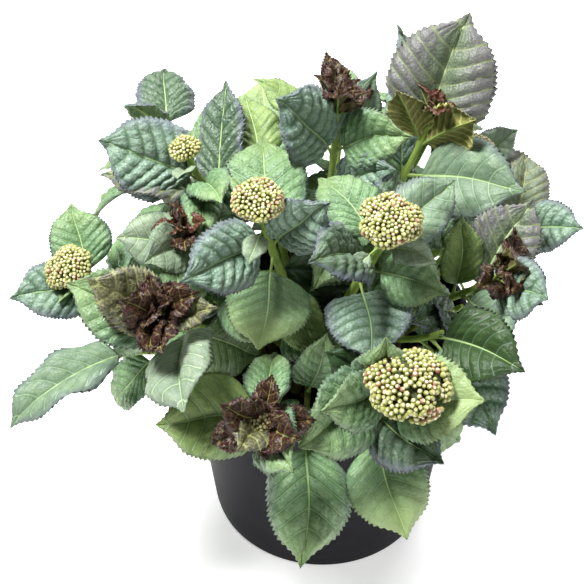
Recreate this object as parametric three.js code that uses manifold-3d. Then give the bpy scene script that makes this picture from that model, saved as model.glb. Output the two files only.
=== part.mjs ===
// A potted bigleaf hydrangea in bud: canes that rise from one clump in a
// plain nursery pot, each carrying pairs of broad leaves and a flat head
// of buds or a tuft of young leaves. Millimetres, +Z up, origin at the
// middle of the pot's underside; the side that is usually shown faces -Y.
import * as THREE from 'three';
import { mergeVertices } from 'three/addons/utils/BufferGeometryUtils.js';
import Module from 'manifold-3d';

const wasm = await Module();
wasm.setup();

// ---- pot and compost ----
const POT = {
  foot: 110, mouth: 135, high: 240, wall: 2.5, floor: 3, edge: 4, lip: 4, band: 14, sides: 48,
};
const SOIL_TOP = 214;
const GAP = 0.3; // clear space between neighbouring pieces

// ---- how a shoot grows ----
const CLUMP = { x: -12, y: 0 }; // middle of the clump of canes
const FOOT_SHARE = 0.34; // how far out a cane stands, as a share of its tip's reach
const AIM_FROM = new THREE.Vector3(-12, 10, 110); // tips point away from here
const RISE = 0.38; // part of the way that a cane goes straight up
const LEAN = 0.42; // part of the way that it follows its tip's direction
const STEM_STEPS = 24;
const STEM_TIP = 2.3, STEM_GROW = 0.011, HEAD_STOUT = 0.02; // stem radius and its growth downwards
const FLARE = [1.28, 1.08]; // root flare over the first rings
const FLARE_RISE = 7;
const CANE_UNDER = 12; // a cane ends this far under the lowest pair
const CANE_LEAST = 26; // shortest cane
const CANE_RINGS = 3, TWIG_RINGS = 4, STEM_SIDES = 5;

// ---- pairs of leaves, from the tip down ----
const PAIRS = [
  { drop: 14, share: 0.50, lift: 52, bend: 25, stalk: 8, fold: 22 },
  { drop: 40, share: 0.82, lift: 30, bend: 38, stalk: 16, fold: 14 },
  { drop: 80, share: 1.00, lift: 12, bend: 46, stalk: 22, fold: 10 },
  { drop: 122, share: 1.00, lift: -2, bend: 50, stalk: 26, fold: 8 },
];
const STRAY = { turn: 8, lift: 6, bend: 8, bank: 10, least: 0.92, most: 1.05 }; // seeded spread
const LEAF_SEED = 1000, SEED_STEP = 77;
const STALK_STEPS = 4, BLADE_STEPS = 12;
const BEND_POWER = 1.3;
const BLADE_U = [0, 0.06, 0.18, 0.34, 0.5, 0.66, 0.8, 0.91, 1];
const BLADE_W = [0, 0.42, 0.82, 1.0, 0.97, 0.8, 0.52, 0.22, 0];
const WIDE = 0.34; // half the width, as a share of the length
const STATIONS = [0, 4, 7, 10, 13, 16]; // spine steps that carry a ring
const STALK_HALF = [1.5, 1.2]; // leaf stalk's half thickness at its two rings
const ROOT_OUT = 0.9; // a stalk starts this far off the stem's middle
const BLADE_HALF = 0.0095, BLADE_HALF_LEAST = 0.7; // half thickness at the midrib
const TAPER = [1, 1, 0.8, 0.5]; // its share along the blade

// ---- room between neighbours ----
const CLEAR = 0.35, EDGE_HALF = 0.4; // a leaf's shell stands this far proud of it
const NUDGES = [
  [0, 0], [8, 0], [-8, 0], [0, 8], [0, -8], [8, 8], [-8, 8], [16, 0], [-16, 0],
  [0, 16], [0, -16], [16, 12], [-16, 12], [28, 0], [-28, 0], [28, 14], [-28, 14],
];
const SHRINKS = [1, 0.84];
const POT_CLEAR = 1.5; // room to the pot, the compost and the ground
const SHELL_RINGS = 10, ROUND_OUT = 1.2; // a six-sided shell is this much wider than what it holds

// ---- heads of buds, and the bud in a tuft of young leaves ----
const HEAD_HIGH = 0.62, HEAD_UP = 0.22, LUMP = 0.09; // height, lift and lumps as shares of the radius
const HEAD_KEEP = 0.5, WIDE_HEAD = 25, WIDE_KEEP = 0.12; // shares of the stem's lean that heads keep
const HEAD_SEED = 4000;
const HEAD_SHELL = [[0.3, -0.25], [1, 0.15], [0.9, 0.6], [0.3, 0.95]]; // radius and height of its rings
const FINE_HEAD = 25, PLAIN_HEAD = 12; // heads above these radii are split finer

// name, tip, what the tip carries, its radius, pairs, turn of the first pair, longest leaf,
// and the foot of a cane that doesn't keep to FOOT_SHARE
const SHOOTS = [
  ['a', [-120, -20, 449], 'buds', 15, 4, -90, 90],
  ['b', [-55, -95, 455], 'buds', 23, 4, 90, 95],
  ['c', [51, -105, 442], 'buds', 28, 4, 90, 95],
  ['d', [-224, -42, 330], 'buds', 24, 3, 0, 85],
  ['e', [-137, -135, 367], 'young', 9, 4, 60, 90],
  ['g', [8, 30, 457], 'young', 8, 4, 90, 95],
  ['h', [92, 49, 443], 'young', 9, 4, 80, 95],
  ['i', [131, 46, 402], 'buds', 20, 4, 60, 95, [42, 14]],
  ['j', [148, -80, 371], 'young', 8, 4, 20, 90],
  ['k', [70, -187, 337], 'buds', 37, 4, 90, 95],
  ['l', [-49, -208, 321], 'young', 12, 4, 100, 90],
  ['m', [-118, -72, 409], 'young', 7, 3, 20, 75],
  ['p', [-57, 10, 413], 'none', 0, 4, 60, 85],
  ['q', [-146, 56, 423], 'none', 0, 4, 0, 80],
  ['r', [172, 0, 362], 'none', 0, 4, 45, 85],
  ['s', [107, -50, 371], 'none', 0, 4, 45, 80],
  ['t', [99, -125, 346], 'none', 0, 3, 0, 85],
  ['u', [-174, -90, 282], 'none', 0, 3, 0, 90],
  ['v', [-14, -139, 262], 'none', 0, 2, 90, 85],
  ['n1', [-92, -82, 334], 'none', 0, 3, 20, 90, [-29, -48]],
  ['n2', [121, -62, 317], 'none', 0, 3, 60, 90, [68, -22]],
  ['w', [36, -140, 268], 'none', 0, 2, 90, 85, [-2, -58]],
  ['y1', [-168, 98, 372], 'none', 0, 4, 20, 90],
  ['y2', [-85, 128, 366], 'buds', 20, 4, 60, 90],
  ['y3', [15, 130, 398], 'none', 0, 4, 0, 90],
  ['y4', [110, 120, 410], 'buds', 22, 4, 40, 90],
  ['y5', [185, 75, 340], 'none', 0, 3, 20, 90],
  ['y6', [-60, 200, 310], 'none', 0, 3, 10, 90],
  ['y7', [80, 200, 305], 'none', 0, 3, 50, 90],
];

// Leaves that are set by hand: shoot, pair, side, drop, turn, lift, bend,
// length, stalk, half width, bank, fold, colour. Every other leaf follows PAIRS.
const SET_LEAVES = [
  ['a', 0, 0, 18, -10, 40, 20, 30, 6, 0.36, 0, 14, 'pale'],
  ['a', 0, 1, 16, 160, 55, 20, 24, 6, 0.3, 0, 20, 'green'],
  ['a', 1, 1, 34, -100, 55, 30, 82, 8, 0.44, -50, 8, 'blue'],
  ['a', 2, 0, 56, -95, 45, 25, 80, 14, 0.36, 0, 10, 'under'],
  ['a', 2, 1, 34, 5, 10, 24, 64, 10, 0.3, -20, 20, 'green'],
  ['a', 3, 0, 70, 160, 35, 10, 96, 16, 0.26, 0, 10, 'dark'],
  ['b', 0, 0, 34, -20, 20, 30, 28, 10, 0.4, 0, 14, 'pale'],
  ['b', 0, 1, 30, -145, 40, 20, 40, 8, 0.22, 0, 20, 'green'],
  ['b', 1, 0, 52, -170, 5, 12, 90, 10, 0.41, 5, 8, 'sun'],
  ['b', 1, 1, 80, -15, -15, 22, 66, 14, 0.56, -15, 8, 'light'],
  ['b', 2, 0, 62, -50, 40, 25, 80, 12, 0.38, -50, 8, 'blue'],
  ['b', 2, 1, 66, 85, 60, 20, 78, 12, 0.36, 65, 12, 'blue'],
  ['c', 0, 0, 30, 65, 40, 30, 40, 10, 0.34, 35, 14, 'pale'],
  ['c', 0, 1, 30, -40, -5, 30, 30, 12, 0.3, -10, 14, 'pale'],
  ['c', 1, 0, 34, -140, 0, 25, 74, 10, 0.38, 0, 10, 'green'],
  ['c', 1, 1, 40, 140, 25, 20, 78, 10, 0.34, 10, 10, 'mist'],
  ['c', 2, 0, 66, -65, 45, 25, 84, 12, 0.36, 0, 8, 'dark'],
  ['c', 2, 1, 78, 65, 45, 26, 62, 14, 0.42, 35, 8, 'green'],
  ['c', 3, 0, 100, 10, 25, 26, 68, 16, 0.56, 20, 8, 'blue'],
  ['c', 3, 1, 60, 170, 10, 15, 74, 10, 0.34, 0, 10, 'dark'],
  ['d', 0, 0, 20, 160, 35, 16, 62, 8, 0.46, 55, 8, 'green'],
  ['d', 0, 1, 20, -30, 50, 20, 30, 8, 0.4, 0, 10, 'green'],
  ['d', 1, 0, 40, -80, 75, 26, 78, 10, 0.38, -30, 8, 'blue'],
  ['d', 1, 1, 40, 20, 0, 25, 84, 12, 0.4, 0, 8, 'green'],
  ['u', 0, 0, 12, -70, 70, 62, 118, 16, 0.24, 0, 10, 'mist'],
  ['d', 2, 1, 60, -180, 20, 30, 60, 10, 0.36, 0, 8, 'green'],
  ['e', 0, 0, 8, 75, 25, 20, 52, 6, 0.3, 0, 16, 'under'],
  ['e', 0, 1, 8, -125, 90, 20, 46, 6, 0.42, 0, 14, 'maroon'],
  ['e', 1, 0, 14, 10, 55, 30, 46, 6, 0.46, 0, 14, 'maroon'],
  ['e', 1, 1, 14, -140, 70, 16, 72, 6, 0.38, 5, 12, 'net'],
  ['e', 2, 0, 46, 5, 45, 25, 88, 12, 0.42, 0, 8, 'pale'],
  ['e', 2, 1, 44, 160, 0, 16, 74, 10, 0.36, 35, 10, 'light'],
  ['n1', 0, 0, 8, 30, 30, 22, 76, 10, 0.4, -5, 8, 'moss'],
  ['n1', 0, 1, 10, -155, 5, 25, 60, 10, 0.4, 0, 8, 'green'],
  ['n1', 1, 0, 26, -175, -10, 25, 60, 10, 0.4, 0, 8, 'dark'],
  ['n1', 1, 1, 30, -5, 60, 25, 70, 14, 0.4, 0, 8, 'dark'],
  ['n2', 0, 0, 8, 10, 70, 25, 66, 10, 0.4, 0, 8, 'green'],
  ['n2', 0, 1, 10, -40, 20, 25, 62, 10, 0.44, 0, 8, 'dark'],
  ['n2', 1, 0, 26, -85, 75, 25, 60, 10, 0.4, -75, 10, 'sun'],
  ['n2', 1, 1, 30, -20, 55, 25, 70, 14, 0.4, 0, 8, 'dark'],
  ['g', 0, 0, 6, -165, 45, 10, 52, 6, 0.3, 0, 30, 'maroon'],
  ['g', 0, 1, 6, 145, 20, 10, 44, 6, 0.36, 0, 24, 'maroon'],
  ['g', 1, 0, 34, -110, 40, 20, 76, 12, 0.3, -5, 14, 'sun'],
  ['g', 1, 1, 40, 55, 40, 16, 74, 10, 0.36, 75, 10, 'green'],
  ['g', 2, 0, 44, -60, 50, 20, 88, 12, 0.4, -75, 8, 'blue'],
  ['g', 2, 1, 48, 135, 65, 16, 70, 12, 0.3, 65, 12, 'mist'],
  ['g', 3, 0, 80, 45, 40, 20, 76, 14, 0.26, 75, 12, 'blue'],
  ['h', 0, 0, 30, -70, 50, 10, 58, 6, 0.34, 60, 12, 'under'],
  ['h', 0, 1, 34, 45, 60, 16, 64, 6, 0.4, -60, 12, 'under'],
  ['h', 1, 0, 28, -180, 75, 12, 104, 10, 0.47, -15, 8, 'net'],
  ['h', 1, 1, 28, -140, 50, 10, 92, 8, 0.22, 0, 14, 'dark'],
  ['h', 2, 0, 70, -150, 55, 14, 84, 10, 0.24, -75, 16, 'blue'],
  ['h', 2, 1, 66, 65, 35, 18, 98, 16, 0.38, 70, 8, 'mist'],
  ['i', 0, 0, 24, 130, 60, 16, 58, 8, 0.3, 25, 12, 'mist'],
  ['i', 0, 1, 24, -40, 0, 20, 60, 8, 0.34, 0, 10, 'dark'],
  ['i', 1, 0, 36, 105, 25, 16, 86, 8, 0.36, 65, 10, 'dusk'],
  ['i', 1, 1, 44, -165, 40, 20, 76, 10, 0.36, 0, 10, 'green'],
  ['j', 0, 0, 8, -40, 80, 20, 46, 6, 0.36, 0, 16, 'maroon'],
  ['j', 0, 1, 8, -40, 35, 20, 42, 6, 0.4, 0, 16, 'maroon'],
  ['j', 1, 0, 34, -175, 50, 16, 78, 10, 0.4, -35, 8, 'net'],
  ['j', 1, 1, 20, 30, 70, 20, 64, 10, 0.44, 75, 10, 'blue'],
  ['r', 0, 1, 12, 35, 65, 16, 62, 8, 0.4, 75, 10, 'blue'],
  ['j', 2, 1, 50, 15, 50, 24, 72, 12, 0.4, 75, 8, 'mist'],
  ['j', 3, 0, 60, -130, 45, 20, 66, 12, 0.3, -50, 16, 'sun'],
  ['k', 0, 0, 48, -60, 40, 20, 76, 10, 0.36, 0, 10, 'green'],
  ['k', 0, 1, 48, 125, 70, 20, 84, 10, 0.46, -20, 10, 'light'],
  ['w', 0, 0, 10, 35, 30, 22, 84, 34, 0.44, 10, 8, 'green'],
  ['k', 1, 1, 56, -125, 55, 20, 70, 10, 0.4, -35, 10, 'green'],
  ['v', 0, 0, 10, 0, 30, 26, 100, 34, 0.37, 0, 8, 'green'],
  ['t', 0, 1, 22, 45, 35, 25, 84, 14, 0.4, 35, 8, 'blue'],
  ['k', 3, 0, 74, -35, 40, 25, 90, 16, 0.42, 0, 10, 'green'],
  ['w', 0, 1, 10, 70, 70, 30, 76, 26, 0.4, 0, 10, 'dark'],
  ['l', 0, 0, 8, -130, 65, 20, 46, 6, 0.42, 0, 14, 'maroon'],
  ['l', 0, 1, 8, 65, 55, 20, 46, 6, 0.42, 0, 14, 'maroon'],
  ['l', 1, 0, 16, -45, 80, 30, 46, 6, 0.46, 0, 14, 'under'],
  ['l', 1, 1, 30, 175, -50, 10, 60, 8, 0.36, 0, 14, 'green'],
  ['l', 2, 0, 50, -100, 30, 22, 84, 12, 0.44, 20, 8, 'sun'],
  ['l', 2, 1, 40, 40, 75, 25, 70, 12, 0.42, 0, 10, 'green'],
  ['m', 0, 0, 8, 115, 90, 20, 34, 6, 0.42, 0, 14, 'maroon'],
  ['m', 0, 1, 8, 35, 40, 20, 34, 6, 0.42, 0, 14, 'maroon'],
  ['m', 1, 0, 24, -95, 40, 20, 58, 8, 0.42, -30, 10, 'pale'],
  ['m', 1, 1, 24, -35, 55, 20, 56, 8, 0.42, -60, 10, 'pale'],
  ['p', 0, 0, 8, 180, 25, 8, 88, 8, 0.38, 10, 10, 'sun'],
  ['p', 0, 1, 8, -140, 40, 20, 66, 8, 0.36, 0, 10, 'blue'],
  ['q', 0, 0, 8, -15, 65, 20, 54, 8, 0.3, 0, 10, 'dark'],
  ['q', 0, 1, 8, -175, 25, 14, 72, 8, 0.38, 30, 10, 'dusk'],
  ['t', 0, 0, 14, 55, 70, 25, 84, 12, 0.38, 40, 8, 'dark'],
  ['r', 0, 0, 10, -165, 40, 20, 62, 8, 0.4, -35, 12, 'under'],
  ['b', 3, 0, 118, 20, -15, 24, 62, 16, 0.34, 0, 8, 'sun'],
  ['e', 3, 1, 54, 15, -65, 20, 76, 10, 0.4, -30, 8, 'moss'],
  ['e', 3, 0, 40, -135, 50, 20, 92, 10, 0.36, 5, 10, 'green'],
  ['j', 2, 0, 44, 45, 75, 20, 66, 10, 0.3, 75, 10, 'mist'],
  ['k', 1, 0, 60, -130, -70, 20, 54, 10, 0.36, -25, 10, 'dark'],
  ['k', 2, 0, 70, -90, 20, 24, 50, 10, 0.34, 5, 10, 'deep'],
];

// ---- seeded numbers ----
class Dice {
  constructor(seed) { this.state = seed; }
  roll(low, high) {
    this.state = (this.state * 16807) % 2147483647;
    return low + ((high - low) * this.state) / 2147483647;
  }
}

const rad = THREE.MathUtils.degToRad;
const vec = (x, y, z) => new THREE.Vector3(x, y, z);
const move = (p, ...steps) => {
  const q = p.clone();
  for (const [v, s] of steps) q.addScaledVector(v, s);
  return q;
};

// ---- stems ----
// A head of buds keeps only part of its stem's lean, a wide one very little.
function faceUp(aim, size) {
  const keep = size > WIDE_HEAD ? WIDE_KEEP : HEAD_KEEP;
  return vec(aim.x * keep, aim.y * keep, aim.z).normalize();
}

function stemOf(tip, footGiven) {
  const end = vec(...tip);
  const inward = (v, middle) => middle + (v - middle) * FOOT_SHARE;
  const [x, y] = footGiven ?? [inward(end.x, CLUMP.x), inward(end.y, CLUMP.y)];
  const foot = vec(x, y, SOIL_TOP);
  const aim = end.clone().sub(AIM_FROM).normalize();
  const far = end.distanceTo(foot);
  const curve = new THREE.CubicBezierCurve3(
    foot, vec(foot.x, foot.y, foot.z + RISE * far), move(end, [aim, -LEAN * far]), end,
  );
  const points = curve.getPoints(STEM_STEPS);
  let long = 0;
  for (let i = 1; i < points.length; i++) long += points[i].distanceTo(points[i - 1]);
  return { points, aim, long };
}

// Point and direction at a distance below the tip.
function along(points, drop) {
  let left = drop;
  for (let i = points.length - 1; ; i--) {
    const step = points[i].clone().sub(points[i - 1]);
    const n = step.length();
    if (left <= n || i === 1) {
      return { point: move(points[i], [step, -left / n]), up: step.divideScalar(n) };
    }
    left -= n;
  }
}

// Directions square to a stem: one towards the front, one to its right.
function across(up) {
  const front = vec(0, -1, 0);
  const a = move(front, [up, -front.dot(up)]).normalize();
  return { a, b: up.clone().cross(a) };
}

// ---- leaves ----
function halfWidth(u) {
  for (let i = 1; i < BLADE_U.length; i++) {
    if (u <= BLADE_U[i]) {
      const t = (u - BLADE_U[i - 1]) / (BLADE_U[i] - BLADE_U[i - 1]);
      return BLADE_W[i - 1] + (BLADE_W[i] - BLADE_W[i - 1]) * t;
    }
  }
  return 0;
}

// The leaf's spine: it leaves the stem at its lift and bends over on its way.
function spineOf(leaf) {
  const { point, up } = along(leaf.points, leaf.drop);
  const { a, b } = across(up);
  const turn = rad(leaf.turn);
  const out = a.multiplyScalar(Math.cos(turn)).addScaledVector(b, Math.sin(turn));
  const side = up.clone().cross(out);
  const total = leaf.stalk + leaf.long;
  const [cb, sb] = [Math.cos(rad(leaf.bank)), Math.sin(rad(leaf.bank))];
  const frame = (s) => {
    const angle = rad(leaf.lift) - rad(leaf.bend) * (s / total) ** BEND_POWER;
    const [c, q] = [Math.cos(angle), Math.sin(angle)];
    const normal = up.clone().multiplyScalar(c).addScaledVector(out, -q);
    return {
      dir: out.clone().multiplyScalar(c).addScaledVector(up, q),
      side: side.clone().multiplyScalar(cb).addScaledVector(normal, sb),
      normal: normal.multiplyScalar(cb).addScaledVector(side, -sb),
    };
  };
  const spine = [];
  let s = 0;
  let at = move(point, [out, ROOT_OUT]);
  for (let i = 0; i <= STALK_STEPS + BLADE_STEPS; i++) {
    spine.push({ at, ...frame(s) });
    const step = i < STALK_STEPS ? leaf.stalk / STALK_STEPS : leaf.long / BLADE_STEPS;
    at = move(at, [frame(s + step / 2).dir, step]);
    s += step;
  }
  return spine;
}

// The leaf's rings: place, frame, half width, half thickness and fold.
function ringsOf(leaf) {
  const spine = spineOf(leaf);
  const thick = Math.max(BLADE_HALF_LEAST, BLADE_HALF * leaf.long);
  return STATIONS.map((i, k) => {
    const u = (i - STALK_STEPS) / BLADE_STEPS;
    const inBlade = k >= STALK_HALF.length;
    return {
      ...spine[i],
      wide: inBlade ? halfWidth(u) * leaf.wide * leaf.long : STALK_HALF[k],
      thick: inBlade ? thick * TAPER[k - STALK_HALF.length] : STALK_HALF[k],
      fold: inBlade ? rad(leaf.fold) : 0,
    };
  });
}

// ---- shells: rings of six points that stand a little proud of a piece ----
function leafShell(rings) {
  return rings.map(({ at, side, normal, wide, thick, fold }, k) => {
    const w = wide + CLEAR;
    const edge = Math.min(thick, EDGE_HALF) + (k < STALK_HALF.length ? CLEAR : 0);
    const [x, z] = [w * Math.cos(fold), w * Math.sin(fold)];
    const mid = thick + CLEAR;
    return [
      [-x, z + edge], [0, mid], [x, z + edge], [x, z - edge], [0, -mid], [-x, z - edge],
    ].map(([i, j]) => move(at, [side, i], [normal, j]));
  });
}

function roundShell(rings) {
  return rings.map(({ at, up, r }) => {
    const { a, b } = across(up);
    return Array.from({ length: 6 }, (_, k) => {
      const turn = (k * Math.PI) / 3;
      return move(at, [a, r * Math.cos(turn)], [b, r * Math.sin(turn)]);
    });
  });
}

function shellParts(rings) {
  const edges = [];
  const faces = [];
  rings.forEach((ring, i) => {
    for (let k = 0; k < 6; k++) {
      const n = (k + 1) % 6;
      edges.push([ring[k], ring[n]]);
      if (i + 1 < rings.length) {
        const next = rings[i + 1];
        edges.push([ring[k], next[k]], [ring[k], next[n]]);
        faces.push([ring[k], ring[n], next[n]], [ring[k], next[n], next[k]]);
      }
    }
  });
  const box = new THREE.Box3().setFromPoints(rings.flat());
  return { rings, edges, faces, box };
}

// Does the edge go through the face?
function pierces([p, q], [a, b, c]) {
  const dx = q.x - p.x, dy = q.y - p.y, dz = q.z - p.z;
  const ux = b.x - a.x, uy = b.y - a.y, uz = b.z - a.z;
  const vx = c.x - a.x, vy = c.y - a.y, vz = c.z - a.z;
  const hx = dy * vz - dz * vy, hy = dz * vx - dx * vz, hz = dx * vy - dy * vx;
  const det = ux * hx + uy * hy + uz * hz;
  if (Math.abs(det) < 1e-9) return false;
  const sx = p.x - a.x, sy = p.y - a.y, sz = p.z - a.z;
  const u = (sx * hx + sy * hy + sz * hz) / det;
  if (u < 0 || u > 1) return false;
  const kx = sy * uz - sz * uy, ky = sz * ux - sx * uz, kz = sx * uy - sy * ux;
  const v = (dx * kx + dy * ky + dz * kz) / det;
  if (v < 0 || u + v > 1) return false;
  const t = (vx * kx + vy * ky + vz * kz) / det;
  return t >= 0 && t <= 1;
}

const touchesBox = ([p, q], box) => Math.min(p.x, q.x) <= box.max.x && Math.max(p.x, q.x) >= box.min.x
  && Math.min(p.y, q.y) <= box.max.y && Math.max(p.y, q.y) >= box.min.y
  && Math.min(p.z, q.z) <= box.max.z && Math.max(p.z, q.z) >= box.min.z;

function clash(one, two) {
  if (!one.box.intersectsBox(two.box)) return false;
  for (const [e, f] of [[one, two], [two, one]]) {
    for (const edge of e.edges) {
      if (touchesBox(edge, f.box) && f.faces.some((face) => pierces(edge, face))) return true;
    }
  }
  return false;
}

// The pot's wall, its lip, the compost and the ground under a hanging leaf.
function inPot(p) {
  const r = Math.hypot(p.x, p.y);
  const wall = POT.foot + ((POT.mouth - POT.foot) * p.z) / POT.high;
  if (p.z < POT_CLEAR) return true;
  if (p.z > POT.high + POT_CLEAR) return false;
  if (r > wall - POT.wall - POT_CLEAR && r < wall + POT.lip + POT_CLEAR) return true;
  return p.z < SOIL_TOP + POT_CLEAR && r <= wall;
}
const hitsPot = (shell) => shell.edges.some(([p, q]) => [0, 0.25, 0.5, 0.75].some(
  (t) => inPot(p.clone().lerp(q, t)),
));

// ---- the whole plan: stems first, then the set leaves, then the rest ----
function radiusAt(shoot, drop) {
  return STEM_TIP + HEAD_STOUT * shoot.size + STEM_GROW * drop;
}

function growPlan() {
  const shoots = SHOOTS.map(([name, tip, kind, size, pairs, roll, full, foot], n) => {
    const stem = stemOf(tip, foot);
    if (kind === 'buds') stem.aim = faceUp(stem.aim, size);
    const dice = new Dice(LEAF_SEED + SEED_STEP * n);
    const shoot = { name, kind, size, ...stem, leaves: [], tip: vec(...tip) };
    shoot.wanted = [];
    for (let k = 0; k < pairs; k++) {
      const base = PAIRS[k];
      for (const side of [0, 1]) {
        const leaf = {
          points: stem.points,
          drop: base.drop,
          turn: roll + 90 * k + 180 * side + dice.roll(-STRAY.turn, STRAY.turn),
          lift: base.lift + dice.roll(-STRAY.lift, STRAY.lift),
          bend: base.bend + dice.roll(-STRAY.bend, STRAY.bend),
          long: full * base.share * dice.roll(STRAY.least, STRAY.most),
          stalk: base.stalk,
          fold: base.fold,
          bank: dice.roll(-STRAY.bank, STRAY.bank),
          wide: WIDE,
          set: false,
        };
        const row = SET_LEAVES.find((r) => r[0] === name && r[1] === k && r[2] === side);
        if (row) {
          const [, , , drop, turn, lift, bend, long, stalk, wide, bank, fold] = row;
          Object.assign(leaf, { drop, turn, lift, bend, long, stalk, wide, bank, fold, set: true });
        }
        if (leaf.drop < stem.long - CANE_LEAST - CANE_UNDER) shoot.wanted.push(leaf);
      }
    }
    const lowest = Math.max(...shoot.wanted.map((leaf) => leaf.drop));
    shoot.split = Math.min(lowest + CANE_UNDER, stem.long - CANE_LEAST);
    shoot.body = stemShell(shoot);
    return shoot;
  });
  for (const set of [true, false]) {
    for (const shoot of shoots) {
      for (const leaf of shoot.wanted) if (leaf.set === set) placeLeaf(leaf, shoot, shoots);
    }
  }
  return shoots;
}

function stemShell(shoot) {
  const rings = [];
  for (let k = 0; k <= SHELL_RINGS; k++) {
    const drop = (shoot.long * k) / SHELL_RINGS;
    const { point, up } = along(shoot.points, drop);
    const flare = k === SHELL_RINGS ? FLARE[0] : 1;
    rings.push({ at: point, up, r: radiusAt(shoot, drop) * flare + CLEAR * 2 });
  }
  const shells = [shellParts(roundShell(rings))];
  if (shoot.size) {
    const r = shoot.size * ROUND_OUT;
    shells.push(shellParts(roundShell(HEAD_SHELL.map(
      ([w, h]) => ({ at: move(shoot.tip, [shoot.aim, h * r]), up: shoot.aim, r: w * r }),
    ))));
  }
  return shells;
}

// A leaf takes the first nudge that leaves it clear of everything; else it is left out.
function placeLeaf(leaf, shoot, shoots) {
  for (const shrink of SHRINKS) {
    for (const [turn, lift] of NUDGES) {
      const trial = {
        ...leaf, turn: leaf.turn + turn, lift: leaf.lift + lift, long: leaf.long * shrink,
      };
      const rings = ringsOf(trial);
      const shell = shellParts(leafShell(rings));
      if (hitsPot(shell)) continue;
      const blade = shellParts(shell.rings.slice(STALK_HALF.length - 1));
      const crowded = shoots.some((other) => (other === shoot
        ? !leaf.set && other.leaves.some((l) => clash(blade, l.blade))
        : other.body.some((part) => clash(shell, part))
          || other.leaves.some((l) => clash(shell, l.shell))));
      if (!crowded) {
        shoot.leaves.push({ ...trial, rings, shell, blade });
        return;
      }
    }
  }
}

// ---- solids ----
function solidOf(geometry) {
  const bare = geometry.clone();
  bare.deleteAttribute('normal');
  bare.deleteAttribute('uv');
  const welded = mergeVertices(bare, 1e-4);
  const index = [...welded.index.array];
  const triVerts = [];
  for (let i = 0; i < index.length; i += 3) {
    const [a, b, c] = index.slice(i, i + 3);
    if (a !== b && b !== c && c !== a) triVerts.push(a, b, c);
  }
  return new wasm.Manifold(new wasm.Mesh({
    numProp: 3,
    vertProperties: Float32Array.from(welded.attributes.position.array),
    triVerts: Uint32Array.from(triVerts),
  }));
}

function geometryOf(solid) {
  const { vertProperties, triVerts } = solid.getMesh();
  const geometry = new THREE.BufferGeometry();
  geometry.setAttribute('position', new THREE.BufferAttribute(Float32Array.from(vertProperties), 3));
  geometry.setIndex([...triVerts]);
  return geometry;
}

// Bends a cylinder or cone of unit radius: ring k of its height goes to place(k).
function bent(geometry, rings, place) {
  const position = geometry.attributes.position;
  for (let i = 0; i < position.count; i++) {
    const p = vec().fromBufferAttribute(position, i);
    const k = Math.round((0.5 - p.y) * (rings - 1));
    const size = geometry.type === 'ConeGeometry' ? k / (rings - 1) : 1;
    const q = place(k, size ? p.x / size : 0, size ? p.z / size : 0);
    position.setXYZ(i, q.x, q.y, q.z);
  }
  return geometry;
}

// Rings run from the far end back to the root; a blunt end has a ring, a tip a point.
function stemSolid(rings) {
  const geometry = new THREE.CylinderGeometry(1, 1, 1, STEM_SIDES, rings.length - 1);
  return solidOf(bent(geometry, rings.length, (k, x, z) => {
    const { at, up, r } = rings[k];
    const { a, b } = across(up);
    return move(at, [b, x * r], [a, z * r]);
  }));
}

function leafSolid(leaf) {
  const rings = [...leaf.rings].reverse();
  const geometry = new THREE.ConeGeometry(1, 1, 4, rings.length - 1);
  return solidOf(bent(geometry, rings.length, (k, x, z) => {
    const { at, side, normal, wide, thick, fold } = rings[k];
    const w = wide * Math.cos(fold);
    return move(at, [side, -x * w], [normal, Math.abs(x) * wide * Math.sin(fold) + z * thick]);
  }));
}

// A head of buds: a ball pressed flat, lumpy by the seeded rule.
function headSolid(shoot, seed) {
  const detail = Number(shoot.size > PLAIN_HEAD) + Number(shoot.size > FINE_HEAD);
  const geometry = new THREE.IcosahedronGeometry(shoot.size, detail);
  const dice = new Dice(seed);
  const lumps = new Map();
  const { a, b } = across(shoot.aim);
  const high = shoot.kind === 'buds' ? HEAD_HIGH : 1;
  const position = geometry.attributes.position;
  for (let i = 0; i < position.count; i++) {
    const p = vec().fromBufferAttribute(position, i);
    const key = p.toArray().map((v) => v.toFixed(2)).join();
    if (!lumps.has(key)) lumps.set(key, 1 + dice.roll(-LUMP, LUMP));
    p.multiplyScalar(lumps.get(key));
    const q = move(shoot.tip, [b, p.x], [shoot.aim, (p.y * high + shoot.size * HEAD_UP)], [a, p.z]);
    position.setXYZ(i, q.x, q.y, q.z);
  }
  return solidOf(geometry);
}

function caneRings(shoot) {
  const low = shoot.long - GAP;
  const drops = [];
  for (let k = 0; k < CANE_RINGS; k++) {
    const top = shoot.split + GAP;
    drops.push(top + ((low - FLARE_RISE * 2 - top) * k) / (CANE_RINGS - 1));
  }
  drops.push(low - FLARE_RISE, low);
  return drops.map((drop, k) => {
    const { point, up } = along(shoot.points, drop);
    const flare = FLARE[drops.length - 1 - k] ?? 1;
    const foot = k === drops.length - 1;
    return {
      at: foot ? vec(point.x, point.y, SOIL_TOP + GAP) : point,
      up: foot ? vec(0, 0, 1) : up,
      r: radiusAt(shoot, drop) * flare,
    };
  });
}

function twigRings(shoot) {
  return Array.from({ length: TWIG_RINGS }, (_, k) => {
    const drop = (shoot.split * k) / (TWIG_RINGS - 1);
    const { point, up } = along(shoot.points, drop);
    return { at: point, up, r: radiusAt(shoot, drop) };
  });
}

function lathe(profile) {
  const geometry = new THREE.LatheGeometry(profile.map(([r, z]) => new THREE.Vector2(r, z)), POT.sides);
  return solidOf(geometry.rotateX(Math.PI / 2));
}

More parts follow.
